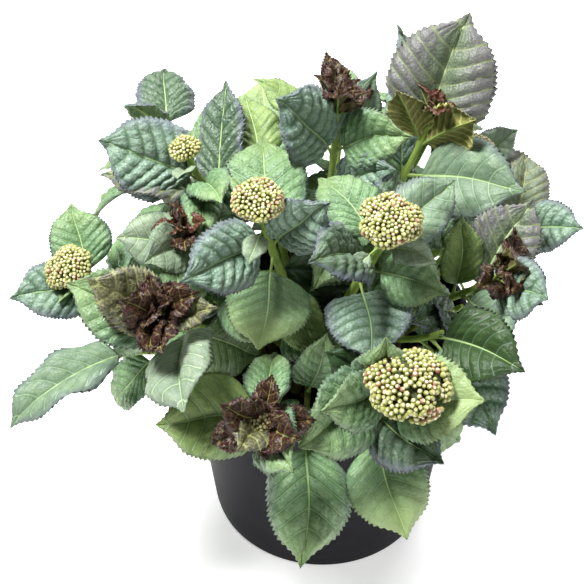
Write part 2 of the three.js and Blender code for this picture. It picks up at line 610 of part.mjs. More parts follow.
function potSolid() {
  const { foot, mouth, high, wall, floor, edge, lip, band } = POT;
  const at = (z) => foot + ((mouth - foot) * z) / high;
  const round = (share) => [
    foot - edge + edge * Math.sin(share * Math.PI / 2), edge - edge * Math.cos(share * Math.PI / 2),
  ];
  return lathe([
    [0, 0], round(0), round(0.5), round(1), [at(high - band), high - band],
    [at(high - band) + lip, high - band + 1.5], [mouth + lip, high - 1.5], [mouth + lip - 1.5, high],
    [mouth - wall, high], [at(floor) - wall, floor], [0, floor],
  ]);
}

function compostSolid() {
  const { foot, mouth, high, wall, floor } = POT;
  const at = (z) => foot + ((mouth - foot) * z) / high - wall - GAP;
  const low = floor + GAP;
  return lathe([[0, low], [at(low), low], [at(SOIL_TOP), SOIL_TOP], [0, SOIL_TOP]]);
}

// ---- assembly ----
const object = new THREE.Group();
object.name = 'potted_hydrangea';

function add(name, solid, color, roughness, metalness = 0) {
  const material = new THREE.MeshStandardMaterial({ color, roughness, metalness });
  const mesh = new THREE.Mesh(geometryOf(solid), material);
  mesh.name = name;
  object.add(mesh);
}

const LOOK = { pot: 0x2d2b30, compost: 0x3b2a1e, cane: 0x86a052, leaf: 0x6f9273, young: 0x5c3230 };

add('pot', potSolid(), LOOK.pot, 0.45);
add('compost', compostSolid(), LOOK.compost, 0.95);
growPlan().forEach((shoot, n) => {
  add(`cane_${shoot.name}`, stemSolid(caneRings(shoot)), LOOK.cane, 0.6);
  let mass = stemSolid(twigRings(shoot));
  for (const leaf of shoot.leaves) mass = mass.add(leafSolid(leaf));
  if (shoot.size) mass = mass.add(headSolid(shoot, HEAD_SEED + n));
  add(`foliage_${shoot.name}`, mass, shoot.kind === 'young' ? LOOK.young : LOOK.leaf, 0.6);
});

export default object;
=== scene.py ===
"""A potted bigleaf hydrangea in bud: canes, leaves, young tufts, heads of buds, pot and compost."""
import math

import bpy
import numpy as np
from bpy.props import FloatProperty, FloatVectorProperty, PointerProperty
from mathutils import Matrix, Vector


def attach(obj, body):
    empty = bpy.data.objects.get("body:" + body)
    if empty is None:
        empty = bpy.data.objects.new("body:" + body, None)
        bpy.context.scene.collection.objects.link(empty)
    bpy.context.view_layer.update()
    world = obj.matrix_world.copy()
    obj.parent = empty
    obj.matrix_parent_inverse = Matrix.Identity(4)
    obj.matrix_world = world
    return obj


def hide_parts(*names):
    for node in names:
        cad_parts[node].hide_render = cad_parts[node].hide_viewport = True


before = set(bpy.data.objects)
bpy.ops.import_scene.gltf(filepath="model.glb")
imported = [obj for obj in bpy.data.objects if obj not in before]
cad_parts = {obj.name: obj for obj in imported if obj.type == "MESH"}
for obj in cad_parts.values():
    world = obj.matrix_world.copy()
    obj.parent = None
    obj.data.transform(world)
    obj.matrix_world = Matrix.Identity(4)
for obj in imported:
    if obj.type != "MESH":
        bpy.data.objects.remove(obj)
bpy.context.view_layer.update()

bl_info = {
    "name": "Potted Hydrangea",
    "version": (1, 0, 0),
    "blender": (4, 5, 0),
    "location": "View3D > Sidebar > Hydrangea",
    "description": "Grows a potted bigleaf hydrangea in bud",
    "category": "Add Mesh",
}

MM = 0.001
BODY = "root"
PIECE_LIMIT = 180000

# ---------------------------------------------------------------- pot and room
POT = {"foot": 110, "mouth": 135, "high": 240, "wall": 2.5, "lip": 4, "band": 14}
SOIL_TOP = 214
GAP = 0.3

# ---------------------------------------------------------------- how a shoot grows
CLUMP = np.array([-12.0, 0.0])
FOOT_SHARE = 0.34
AIM_FROM = np.array([-12.0, 10.0, 110.0])
RISE, LEAN = 0.38, 0.42
STEM_STEPS = 24
STEM_TIP, STEM_GROW, HEAD_STOUT = 2.3, 0.011, 0.02
FLARE = 1.28
CANE_UNDER, CANE_LEAST = 12, 26

PAIRS = [
    {"drop": 14, "share": 0.50, "lift": 52, "bend": 25, "stalk": 8, "fold": 22},
    {"drop": 40, "share": 0.82, "lift": 30, "bend": 38, "stalk": 16, "fold": 14},
    {"drop": 80, "share": 1.00, "lift": 12, "bend": 46, "stalk": 22, "fold": 10},
    {"drop": 122, "share": 1.00, "lift": -2, "bend": 50, "stalk": 26, "fold": 8},
]
# Pairs under these that only the scene carries: leaves inside the plant, coloured near-black green as painted
# shade.
LOW_PAIRS = [
    {"drop": 158, "share": 0.92, "lift": -6, "bend": 40, "stalk": 24, "fold": 8},
    {"drop": 192, "share": 0.80, "lift": 0, "bend": 36, "stalk": 20, "fold": 8},
]
STRAY = {"turn": 8, "lift": 6, "bend": 8, "bank": 10, "least": 0.92, "most": 1.05}
LEAF_SEED, SEED_STEP, LOW_SEED, TUFT_SEED, SHAPE_SEED = 1000, 77, 7000, 9000, 500
STALK_STEPS, BLADE_STEPS = 4, 12
BEND_POWER = 1.3
BLADE_U = np.array([0, 0.06, 0.18, 0.34, 0.5, 0.66, 0.8, 0.91, 1])
BLADE_W = np.array([0, 0.42, 0.82, 1.0, 0.97, 0.8, 0.52, 0.22, 0])
WIDE = 0.34
STATIONS = [0, 4, 7, 10, 13, 16]
STALK_HALF = [1.5, 1.2]
ROOT_OUT = 0.9
BLADE_HALF, BLADE_HALF_LEAST = 0.0095, 0.7
TAPER = [1, 1, 0.8, 0.5]

# ---------------------------------------------------------------- room between neighbours
CLEAR, EDGE_HALF = 0.35, 0.4
NUDGES = [
    (0, 0), (8, 0), (-8, 0), (0, 8), (0, -8), (8, 8), (-8, 8), (16, 0), (-16, 0),
    (0, 16), (0, -16), (16, 12), (-16, 12), (28, 0), (-28, 0), (28, 14), (-28, 14),
]
SHRINKS = [1, 0.84]
POT_CLEAR = 1.5
SHELL_RINGS, ROUND_OUT = 10, 1.2
HEAD_HIGH, HEAD_UP = 0.62, 0.22
HEAD_KEEP, WIDE_HEAD, WIDE_KEEP = 0.5, 25, 0.12
HEAD_SHELL = [(0.3, -0.25), (1, 0.15), (0.9, 0.6), (0.3, 0.95)]

# name, tip, what the tip carries, its radius, pairs, turn of the first pair, longest leaf,
# and the foot of a cane that doesn't keep to FOOT_SHARE. Another script worked out the tips of a to w and of n1
# and n2 from points and depths picked by hand in the camera's view; h, q, u, v and w were then moved by hand.
# The four feet were found by a search for room. The tips of y1 to y7, and all other values, are given.
SHOOTS = [
    ("a", (-120, -20, 449), "buds", 15, 4, -90, 90),
    ("b", (-55, -95, 455), "buds", 23, 4, 90, 95),
    ("c", (51, -105, 442), "buds", 28, 4, 90, 95),
    ("d", (-224, -42, 330), "buds", 24, 3, 0, 85),
    ("e", (-137, -135, 367), "young", 9, 4, 60, 90),
    ("g", (8, 30, 457), "young", 8, 4, 90, 95),
    ("h", (92, 49, 443), "young", 9, 4, 80, 95),
    ("i", (131, 46, 402), "buds", 20, 4, 60, 95, (42, 14)),
    ("j", (148, -80, 371), "young", 8, 4, 20, 90),
    ("k", (70, -187, 337), "buds", 37, 4, 90, 95),
    ("l", (-49, -208, 321), "young", 12, 4, 100, 90),
    ("m", (-118, -72, 409), "young", 7, 3, 20, 75),
    ("p", (-57, 10, 413), "none", 0, 4, 60, 85),
    ("q", (-146, 56, 423), "none", 0, 4, 0, 80),
    ("r", (172, 0, 362), "none", 0, 4, 45, 85),
    ("s", (107, -50, 371), "none", 0, 4, 45, 80),
    ("t", (99, -125, 346), "none", 0, 3, 0, 85),
    ("u", (-174, -90, 282), "none", 0, 3, 0, 90),
    ("v", (-14, -139, 262), "none", 0, 2, 90, 85),
    ("n1", (-92, -82, 334), "none", 0, 3, 20, 90, (-29, -48)),
    ("n2", (121, -62, 317), "none", 0, 3, 60, 90, (68, -22)),
    ("w", (36, -140, 268), "none", 0, 2, 90, 85, (-2, -58)),
    ("y1", (-168, 98, 372), "none", 0, 4, 20, 90),
    ("y2", (-85, 128, 366), "buds", 20, 4, 60, 90),
    ("y3", (15, 130, 398), "none", 0, 4, 0, 90),
    ("y4", (110, 120, 410), "buds", 22, 4, 40, 90),
    ("y5", (185, 75, 340), "none", 0, 3, 20, 90),
    ("y6", (-60, 200, 310), "none", 0, 3, 10, 90),
    ("y7", (80, 200, 305), "none", 0, 3, 50, 90),
]

# Leaves with a row of their own: shoot, pair, side, drop, turn, lift, bend,
# length, stalk, half width, bank, fold, colour. Every other leaf follows PAIRS.
# Another script worked out turn and lift in all rows, and bank in 54, to 5 degrees, so that each tip stands at
# a point picked by hand in the camera's view. The other banks were set to 0. The other values are given.
SET_LEAVES = [
    ("a", 0, 0, 18, -10, 40, 20, 30, 6, 0.36, 0, 14, "pale"),
    ("a", 0, 1, 16, 160, 55, 20, 24, 6, 0.3, 0, 20, "green"),
    ("a", 1, 1, 34, -100, 55, 30, 82, 8, 0.44, -50, 8, "blue"),
    ("a", 2, 0, 56, -95, 45, 25, 80, 14, 0.36, 0, 10, "dusk"),
    ("a", 2, 1, 34, 5, 10, 24, 64, 10, 0.3, -20, 20, "green"),
    ("a", 3, 0, 70, 160, 35, 10, 96, 16, 0.26, 0, 10, "dark"),
    ("b", 0, 0, 34, -20, 20, 30, 28, 10, 0.4, 0, 14, "pale"),
    ("b", 0, 1, 30, -145, 40, 20, 40, 8, 0.22, 0, 20, "green"),
    ("b", 1, 0, 52, -170, 5, 12, 90, 10, 0.41, 5, 8, "green"),
    ("b", 1, 1, 80, -15, -15, 22, 66, 14, 0.56, -15, 8, "light"),
    ("b", 2, 0, 62, -50, 40, 25, 80, 12, 0.38, -50, 8, "blue"),
    ("b", 2, 1, 66, 85, 60, 20, 78, 12, 0.36, 65, 12, "blue"),
    ("c", 0, 0, 30, 65, 40, 30, 40, 10, 0.34, 35, 14, "pale"),
    ("c", 0, 1, 30, -40, -5, 30, 30, 12, 0.3, -10, 14, "pale"),
    ("c", 1, 0, 34, -140, 0, 25, 74, 10, 0.38, 0, 10, "green"),
    ("c", 1, 1, 40, 140, 25, 20, 78, 10, 0.34, 10, 10, "mist"),
    ("c", 2, 0, 66, -65, 45, 25, 84, 12, 0.36, 0, 8, "dark"),
    ("c", 2, 1, 78, 65, 45, 26, 62, 14, 0.42, 35, 8, "green"),
    ("c", 3, 0, 100, 10, 25, 26, 68, 16, 0.56, 20, 8, "blue"),
    ("c", 3, 1, 60, 170, 10, 15, 74, 10, 0.34, 0, 10, "dark"),
    ("d", 0, 0, 20, 160, 35, 16, 62, 8, 0.46, 55, 8, "green"),
    ("d", 0, 1, 20, -30, 50, 20, 30, 8, 0.4, 0, 10, "green"),
    ("d", 1, 0, 40, -80, 75, 26, 78, 10, 0.38, -30, 8, "blue"),
    ("d", 1, 1, 40, 20, 0, 25, 84, 12, 0.4, 0, 8, "green"),
    ("u", 0, 0, 12, -70, 70, 62, 118, 16, 0.24, 0, 10, "mist"),
    ("d", 2, 1, 60, -180, 20, 30, 60, 10, 0.36, 0, 8, "green"),
    ("e", 0, 0, 8, 75, 25, 20, 52, 6, 0.3, 0, 16, "under"),
    ("e", 0, 1, 8, -125, 90, 20, 46, 6, 0.42, 0, 14, "maroon"),
    ("e", 1, 0, 14, 10, 55, 30, 46, 6, 0.46, 0, 14, "maroon"),
    ("e", 1, 1, 14, -140, 70, 16, 72, 6, 0.38, 5, 12, "under"),
    ("e", 2, 0, 46, 5, 45, 25, 88, 12, 0.42, 0, 8, "pale"),
    ("e", 2, 1, 44, 160, 0, 16, 74, 10, 0.36, 35, 10, "light"),
    ("n1", 0, 0, 8, 30, 30, 22, 76, 10, 0.4, -5, 8, "moss"),
    ("n1", 0, 1, 10, -155, 5, 25, 60, 10, 0.4, 0, 8, "green"),
    ("n1", 1, 0, 26, -175, -10, 25, 60, 10, 0.4, 0, 8, "dark"),
    ("n1", 1, 1, 30, -5, 60, 25, 70, 14, 0.4, 0, 8, "dark"),
    ("n2", 0, 0, 8, 10, 70, 25, 66, 10, 0.4, 0, 8, "green"),
    ("n2", 0, 1, 10, -40, 20, 25, 62, 10, 0.44, 0, 8, "dark"),
    ("n2", 1, 0, 26, -85, 75, 25, 60, 10, 0.4, -75, 10, "sun"),
    ("n2", 1, 1, 30, -20, 55, 25, 70, 14, 0.4, 0, 8, "dark"),
    ("g", 0, 0, 6, -165, 45, 10, 52, 6, 0.3, 0, 30, "maroon"),
    ("g", 0, 1, 6, 145, 20, 10, 44, 6, 0.36, 0, 24, "maroon"),
    ("g", 1, 0, 34, -110, 40, 20, 76, 12, 0.3, -5, 14, "sun"),
    ("g", 1, 1, 40, 55, 40, 16, 74, 10, 0.36, 75, 10, "green"),
    ("g", 2, 0, 44, -60, 50, 20, 88, 12, 0.4, -75, 8, "blue"),
    ("g", 2, 1, 48, 135, 65, 16, 70, 12, 0.3, 65, 12, "mist"),
    ("g", 3, 0, 80, 45, 40, 20, 76, 14, 0.26, 75, 12, "blue"),
    ("h", 0, 0, 30, -70, 50, 10, 58, 6, 0.34, 60, 12, "under"),
    ("h", 0, 1, 34, 45, 60, 16, 64, 6, 0.4, -60, 12, "under"),
    ("h", 1, 0, 28, -180, 75, 12, 104, 10, 0.47, -15, 8, "net"),
    ("h", 1, 1, 28, -140, 50, 10, 92, 8, 0.22, 0, 14, "dark"),
    ("h", 2, 0, 70, -150, 55, 14, 84, 10, 0.24, -75, 16, "blue"),
    ("h", 2, 1, 66, 65, 35, 18, 98, 16, 0.38, 70, 8, "mist"),
    ("i", 0, 0, 24, 130, 60, 16, 58, 8, 0.3, 25, 12, "mist"),
    ("i", 0, 1, 24, -40, 0, 20, 60, 8, 0.34, 0, 10, "dark"),
    ("i", 1, 0, 36, 105, 25, 16, 86, 8, 0.36, 65, 10, "dusk"),
    ("i", 1, 1, 44, -165, 40, 20, 76, 10, 0.36, 0, 10, "green"),
    ("j", 0, 0, 8, -40, 80, 20, 46, 6, 0.36, 0, 16, "maroon"),
    ("j", 0, 1, 8, -40, 35, 20, 42, 6, 0.4, 0, 16, "maroon"),
    ("j", 1, 0, 34, -175, 50, 16, 78, 10, 0.4, -35, 8, "net"),
    ("j", 1, 1, 20, 30, 70, 20, 64, 10, 0.44, 75, 10, "blue"),
    ("r", 0, 1, 12, 35, 65, 16, 62, 8, 0.4, 75, 10, "blue"),
    ("j", 2, 1, 50, 15, 50, 24, 72, 12, 0.4, 75, 8, "mist"),
    ("j", 3, 0, 60, -130, 45, 20, 66, 12, 0.3, -50, 16, "sun"),
    ("k", 0, 0, 48, -60, 40, 20, 76, 10, 0.36, 0, 10, "green"),
    ("k", 0, 1, 48, 125, 70, 20, 84, 10, 0.46, -20, 10, "light"),
    ("w", 0, 0, 10, 35, 30, 22, 84, 34, 0.44, 10, 8, "light"),
    ("k", 1, 1, 56, -125, 55, 20, 70, 10, 0.4, -35, 10, "green"),
    ("v", 0, 0, 10, 0, 30, 26, 100, 34, 0.37, 0, 8, "green"),
    ("t", 0, 1, 22, 45, 35, 25, 84, 14, 0.4, 35, 8, "blue"),
    ("k", 3, 0, 74, -35, 40, 25, 90, 16, 0.42, 0, 10, "green"),
    ("w", 0, 1, 10, 70, 70, 30, 76, 26, 0.4, 0, 10, "dark"),
    ("l", 0, 0, 8, -130, 65, 20, 46, 6, 0.42, 0, 14, "maroon"),
    ("l", 0, 1, 8, 65, 55, 20, 46, 6, 0.42, 0, 14, "maroon"),
    ("l", 1, 0, 16, -45, 80, 30, 46, 6, 0.46, 0, 14, "under"),
    ("l", 1, 1, 30, 175, -50, 10, 60, 8, 0.36, 0, 14, "green"),
    ("l", 2, 0, 50, -100, 30, 22, 84, 12, 0.44, 20, 8, "sun"),
    ("l", 2, 1, 40, 40, 75, 25, 70, 12, 0.42, 0, 10, "green"),
    ("m", 0, 0, 8, 115, 90, 20, 34, 6, 0.42, 0, 14, "maroon"),
    ("m", 0, 1, 8, 35, 40, 20, 34, 6, 0.42, 0, 14, "maroon"),
    ("m", 1, 0, 24, -95, 40, 20, 58, 8, 0.42, -30, 10, "pale"),
    ("m", 1, 1, 24, -35, 55, 20, 56, 8, 0.42, -60, 10, "pale"),
    ("p", 0, 0, 8, 180, 25, 8, 88, 8, 0.38, 10, 10, "light"),
    ("p", 0, 1, 8, -140, 40, 20, 66, 8, 0.36, 0, 10, "sun"),
    ("q", 0, 0, 8, -15, 65, 20, 54, 8, 0.3, 0, 10, "dark"),
    ("q", 0, 1, 8, -175, 25, 14, 72, 8, 0.38, 30, 10, "dark"),
    ("t", 0, 0, 14, 55, 70, 25, 84, 12, 0.38, 40, 8, "forest"),
    ("r", 0, 0, 10, -165, 40, 20, 62, 8, 0.4, -35, 12, "dusk"),
    ("b", 3, 0, 118, 20, -15, 24, 62, 16, 0.34, 0, 8, "sun"),
    ("e", 3, 1, 54, 15, -65, 20, 76, 10, 0.4, -30, 8, "moss"),
    ("e", 3, 0, 40, -135, 50, 20, 92, 10, 0.36, 5, 10, "green"),
    ("j", 2, 0, 44, 45, 75, 20, 66, 10, 0.3, 75, 10, "mist"),
    ("k", 1, 0, 60, -130, -70, 20, 54, 10, 0.36, -25, 10, "dark"),
    ("k", 2, 0, 70, -90, 20, 24, 50, 10, 0.34, 5, 10, "deep"),
]


class Dice:
    """Seeded numbers, the same on every run."""

    def __init__(self, seed):
        self.state = seed

    def roll(self, low, high):
        self.state = (self.state * 16807) % 2147483647
        return low + ((high - low) * self.state) / 2147483647


def norm(v):
    return math.sqrt(float(v @ v))


def unit(v):
    return v / norm(v)


# ---------------------------------------------------------------- stems
def stem_of(tip, foot=None):
    end = np.array(tip, float)
    low = CLUMP + (end[:2] - CLUMP) * FOOT_SHARE if foot is None else np.array(foot, float)
    foot = np.array([low[0], low[1], SOIL_TOP])
    aim = unit(end - AIM_FROM)
    far = norm(end - foot)
    k = [foot, foot + np.array([0, 0, RISE * far]), end - aim * (LEAN * far), end]
    t = np.linspace(0, 1, STEM_STEPS + 1)[:, None]
    points = (1 - t) ** 3 * k[0] + 3 * (1 - t) ** 2 * t * k[1] + 3 * (1 - t) * t**2 * k[2] + t**3 * k[3]
    return points, aim, float(np.linalg.norm(np.diff(points, axis=0), axis=1).sum())


def face_up(aim, size):
    """A head of buds keeps only part of its stem's lean, a wide one very little."""
    keep = WIDE_KEEP if size > WIDE_HEAD else HEAD_KEEP
    return unit(aim * np.array([keep, keep, 1.0]))


def along(points, drop):
    """Point and direction at a distance below the tip."""
    left = drop
    for i in range(len(points) - 1, 0, -1):
        step = points[i] - points[i - 1]
        n = norm(step)
        if left <= n or i == 1:
            return points[i] - step * (left / n), step / n
        left -= n


def across(up):
    """Directions square to a stem: one towards the front, one to its right."""
    front = np.array([0.0, -1.0, 0.0])
    a = unit(front - up * float(front @ up))
    return a, np.cross(up, a)


def radius_at(shoot, drop):
    return STEM_TIP + HEAD_STOUT * shoot["size"] + STEM_GROW * drop


# ---------------------------------------------------------------- leaves
def spine_of(leaf, stalk_steps=STALK_STEPS, blade_steps=BLADE_STEPS):
    """Places and frames along the leaf: it leaves the stem at its lift and bends over on its way."""
    point, up = along(leaf["points"], leaf["drop"])
    a, b = across(up)
    turn = math.radians(leaf["turn"])
    out = a * math.cos(turn) + b * math.sin(turn)
    side = np.cross(up, out)
    total = leaf["stalk"] + leaf["long"]
    bank = math.radians(leaf["bank"])
    steps = np.array([leaf["stalk"] / stalk_steps] * stalk_steps + [leaf["long"] / blade_steps] * blade_steps)
    s = np.concatenate([[0.0], np.cumsum(steps)])

    def lean(d):
        return math.radians(leaf["lift"]) - math.radians(leaf["bend"]) * (d / total) ** BEND_POWER

    half = lean(s[:-1] + steps / 2)[:, None]
    walk = (out * np.cos(half) + up * np.sin(half)) * steps[:, None]
    at = np.vstack([point + out * ROOT_OUT, point + out * ROOT_OUT + np.cumsum(walk, axis=0)])
    angle = lean(s)[:, None]
    flat = up * np.cos(angle) - out * np.sin(angle)
    ahead = out * np.cos(angle) + up * np.sin(angle)
    return {
        "at": at, "ahead": ahead,
        "side": side * math.cos(bank) + flat * math.sin(bank),
        "normal": flat * math.cos(bank) - side * math.sin(bank),
    }


def rings_of(leaf):
    spine = spine_of(leaf)
    thick = max(BLADE_HALF_LEAST, BLADE_HALF * leaf["long"])
    rings = []
    for k, i in enumerate(STATIONS):
        blade = k >= len(STALK_HALF)
        u = (i - STALK_STEPS) / BLADE_STEPS
        wide = float(np.interp(u, BLADE_U, BLADE_W)) * leaf["wide"] * leaf["long"] if blade else STALK_HALF[k]
        rings.append((
            spine["at"][i], spine["side"][i], spine["normal"][i], wide,
            thick * TAPER[k - len(STALK_HALF)] if blade else STALK_HALF[k],
            math.radians(leaf["fold"]) if blade else 0.0,
        ))
    return rings


# ---------------------------------------------------------------- shells and clashes
def leaf_shell(rings):
    shell = []
    for k, (at, side, normal, wide, thick, fold) in enumerate(rings):
        w = wide + CLEAR
        edge = min(thick, EDGE_HALF) + (CLEAR if k < len(STALK_HALF) else 0)
        x, z, mid = w * math.cos(fold), w * math.sin(fold), thick + CLEAR
        flat = [(-x, z + edge), (0, mid), (x, z + edge), (x, z - edge), (0, -mid), (-x, z - edge)]
        shell.append([at + side * i + normal * j for i, j in flat])
    return np.array(shell)


def round_shell(rings):
    shell = []
    for at, up, r in rings:
        a, b = across(up)
        shell.append([
            at + a * (r * math.cos(k * math.pi / 3)) + b * (r * math.sin(k * math.pi / 3)) for k in range(6)
        ])
    return np.array(shell)


_patterns = {}


def shell_parts(rings):
    n = len(rings)
    if n not in _patterns:
        edges, faces = [], []
        for i in range(n):
            for k in range(6):
                m = (k + 1) % 6
                a, b = i * 6 + k, i * 6 + m
                edges.append((a, b))
                if i + 1 < n:
                    c, d = a + 6, b + 6
                    edges += [(a, c), (a, d)]
                    faces += [(a, b, d), (a, d, c)]
        _patterns[n] = np.array(edges), np.array(faces)
    edges, faces = _patterns[n]
    p = rings.reshape(-1, 3)
    e, f = p[edges], p[faces]
    return {
        "rings": rings, "edges": e, "faces": f, "low": p.min(0), "high": p.max(0),
        "e_low": e.min(1), "e_high": e.max(1), "f_low": f.min(1), "f_high": f.max(1),
    }


def clash(one, two):
    """Does an edge of either shell go through a face of the other?"""
    if (one["low"] > two["high"]).any() or (two["low"] > one["high"]).any():
        return False
    for e, f in ((one, two), (two, one)):
        near = ((e["e_low"] <= f["high"]) & (e["e_high"] >= f["low"])).all(1)
        close = ((f["f_low"] <= e["high"]) & (f["f_high"] >= e["low"])).all(1)
        if not near.any() or not close.any():
            continue
        edge, face = e["edges"][near], f["faces"][close]
        p, d = edge[:, None, 0], (edge[:, 1] - edge[:, 0])[:, None]
        a = face[None, :, 0]
        u, v = (face[:, 1] - face[:, 0])[None], (face[:, 2] - face[:, 0])[None]
        h = np.cross(d, v)
        det = (u * h).sum(2)
        fine = np.abs(det) >= 1e-9
        det = np.where(fine, det, 1.0)
        s = p - a
        x = (s * h).sum(2) / det
        k = np.cross(s, u)
        y = (d * k).sum(2) / det
        t = (v * k).sum(2) / det
        if (fine & (x >= 0) & (x <= 1) & (y >= 0) & (x + y <= 1) & (t >= 0) & (t <= 1)).any():
            return True
    return False


def hits_pot(shell):
    """Does it enter the pot's wall, its lip, the compost or the ground?"""
    p, q = shell["edges"][:, 0], shell["edges"][:, 1]
    spots = np.concatenate([p + (q - p) * t for t in (0, 0.25, 0.5, 0.75)])
    r, z = np.hypot(spots[:, 0], spots[:, 1]), spots[:, 2]
    wall = POT["foot"] + ((POT["mouth"] - POT["foot"]) * z) / POT["high"]
    ground = z < POT_CLEAR
    low = z <= POT["high"] + POT_CLEAR
    rim = low & (r > wall - POT["wall"] - POT_CLEAR) & (r < wall + POT["lip"] + POT_CLEAR)
    soil = low & (z < SOIL_TOP + POT_CLEAR) & (r <= wall)
    return bool((ground | rim | soil).any())


# ---------------------------------------------------------------- the whole plan
def seeded_leaf(base, k, side, roll, full, dice):
    return {
        "drop": base["drop"],
        "turn": roll + 90 * k + 180 * side + dice.roll(-STRAY["turn"], STRAY["turn"]),
        "lift": base["lift"] + dice.roll(-STRAY["lift"], STRAY["lift"]),
        "bend": base["bend"] + dice.roll(-STRAY["bend"], STRAY["bend"]),
        "long": full * base["share"] * dice.roll(STRAY["least"], STRAY["most"]),
        "stalk": base["stalk"], "fold": base["fold"],
        "bank": dice.roll(-STRAY["bank"], STRAY["bank"]),
        "wide": WIDE, "set": False,
    }


def grow_plan():
    shoots = []
    set_rows = {row[:3]: row[3:] for row in SET_LEAVES}
    for n, (name, tip, kind, size, pairs, roll, full, *foot) in enumerate(SHOOTS):
        points, aim, long = stem_of(tip, *foot)
        if kind == "buds":
            aim = face_up(aim, size)
        shoot = {
            "name": name, "kind": kind, "size": size, "points": points, "aim": aim, "long": long,
            "tip": np.array(tip, float), "leaves": [], "wanted": [], "low": [], "n": n,
        }
        dice = Dice(LEAF_SEED + SEED_STEP * n)
        for k in range(pairs):
            for side in (0, 1):
                leaf = seeded_leaf(PAIRS[k], k, side, roll, full, dice)
                leaf["tone"] = "maroon" if kind == "young" and k == 0 else "green"
                leaf["points"] = points
                row = set_rows.get((name, k, side))
                if row:
                    keys = ("drop", "turn", "lift", "bend", "long", "stalk", "wide", "bank", "fold", "tone")
                    leaf.update(zip(keys, row))
                    leaf["set"] = True
                if leaf["drop"] < long - CANE_LEAST - CANE_UNDER:
                    shoot["wanted"].append(leaf)
        dice = Dice(LOW_SEED + SEED_STEP * n)
        for k, base in enumerate(LOW_PAIRS):
            for side in (0, 1):
                leaf = seeded_leaf(base, k + pairs, side, roll, full, dice)
                # Painted shade: the leaves inside the plant take a near-black green.
                leaf.update(tone="deep", points=points)
                if pairs == 4 and leaf["drop"] < long - CANE_LEAST - CANE_UNDER:
                    shoot["low"].append(leaf)
        shoot["body"] = stem_shell(shoot)
        shoots.append(shoot)
    for is_set in (True, False):
        for shoot in shoots:
            for leaf in shoot["wanted"]:
                if leaf["set"] == is_set:
                    place_leaf(leaf, shoot, shoots)
    for shoot in shoots:
        for leaf in shoot["low"]:
            place_leaf(leaf, shoot, shoots)
    return shoots


def stem_shell(shoot):
    rings = []
    for k in range(SHELL_RINGS + 1):
        drop = (shoot["long"] * k) / SHELL_RINGS
        point, up = along(shoot["points"], drop)
        flare = FLARE if k == SHELL_RINGS else 1
        rings.append((point, up, radius_at(shoot, drop) * flare + CLEAR * 2))
    shells = [shell_parts(round_shell(rings))]
    if shoot["size"]:
        r = shoot["size"] * ROUND_OUT
        shells.append(shell_parts(round_shell(
            [(shoot["tip"] + shoot["aim"] * (h * r), shoot["aim"], w * r) for w, h in HEAD_SHELL]
        )))
    return shells


def place_leaf(leaf, shoot, shoots):
    """A leaf takes the first nudge that leaves it clear of everything; else it is left out."""
    for shrink in SHRINKS:
        for turn, lift in NUDGES:
            trial = dict(leaf, turn=leaf["turn"] + turn, lift=leaf["lift"] + lift, long=leaf["long"] * shrink)
            shell = shell_parts(leaf_shell(rings_of(trial)))
            if hits_pot(shell):
                continue
            blade = shell_parts(shell["rings"][len(STALK_HALF) - 1:])
            crowded = False
            for other in shoots:
                if other is shoot:
                    crowded = not leaf["set"] and any(clash(blade, l["blade"]) for l in other["leaves"])
                else:
                    crowded = any(clash(shell, part) for part in other["body"]) or any(
                        clash(shell, l["shell"]) for l in other["leaves"])
                if crowded:
                    break
            if not crowded:
                shoot["leaves"].append(dict(trial, shell=shell, blade=blade))
                return


# ---------------------------------------------------------------- blade grid
# Rows follow the side veins from the midrib to the margin; columns run along the leaf.
CELLS = 12
COLUMNS = np.concatenate([[0.0], np.linspace(0, 1, CELLS + 1)])
HALF = len(COLUMNS) - 1
# Half the width of a side vein in shares of the leaf, and where in its cell it stands.
VEIN_HALF, VEIN_PLACE = 0.0042, 0.42
FEW_VEINS, SOME_VEINS, ALL_VEINS = 5, 6, 8
SMALL_LEAF, MIDDLE_LEAF, FULL_LEAF = 40, 58, 90
# Steps along the stalk and along the blade of a dressed leaf.
FINE_STALK, FINE_BLADE = 8, 48
ROW_LIFT = [0.78, 1.0, 0.78]
MID_POWER, EDGE_POWER = 1.6, 0.68
SHOWN_W = np.array([0, 0.45, 0.85, 0.99, 0.99, 0.87, 0.62, 0.2, 0])
TIP_REACH, TIP_FROM, TIP_SPAN = 0.05, 0.72, 0.28
# Ranges from which each blade draws its own form: degrees of fold, then shares of its width or length.
FOLD_STRAY = (-4, 8)
ARCH, DROOP, TWIST = (0.05, 0.2), (0.0, 0.22), (-0.2, 0.2)
TIP_DIP, SWAY, TIP_SWAY = (-0.02, 0.07), (-0.05, 0.05), (-0.04, 0.04)
# Shares of the tooth: how far it stands out, how far the notch beside it goes in, how much teeth differ.
TOOTH_OUT, NOTCH, TOOTH_STRAY = 0.8, 0.5, 0.4
# Height of every third cell between the veins, how much cells differ, and how far young leaves crumple, in mm.
LOW_CELL, CELL_STRAY, CRUSH = 0.42, 0.3, 1.6


def rows_for(veins):
    """Row places along the midrib, their lift, the gap they lie in and which gaps are veins."""
    rows, lift, gap, is_vein = [0.0], [0.0], [0], []
    middles = [(k + VEIN_PLACE) / veins for k in range(veins)]
    ends = middles[1:] + [1.0 + VEIN_HALF]
    for k, (middle, end) in enumerate(zip(middles, ends)):
        rows += [middle - VEIN_HALF, middle + VEIN_HALF]
        lift += [0.0, 0.0]
        gap += [k, k]
        is_vein += [False, True]
        low, high = middle + VEIN_HALF, end - VEIN_HALF
        for j, h in enumerate(ROW_LIFT):
            rows.append(low + (high - low) * (j + 1) / (len(ROW_LIFT) + 1))
            lift.append(h)
            gap.append(k + 1)
            is_vein.append(False)
    rows.append(1.0)
    lift.append(0.0)
    gap.append(veins)
    is_vein.append(False)
    return np.array(rows), np.array(lift), np.array(gap), np.array(is_vein)


_grids = {}


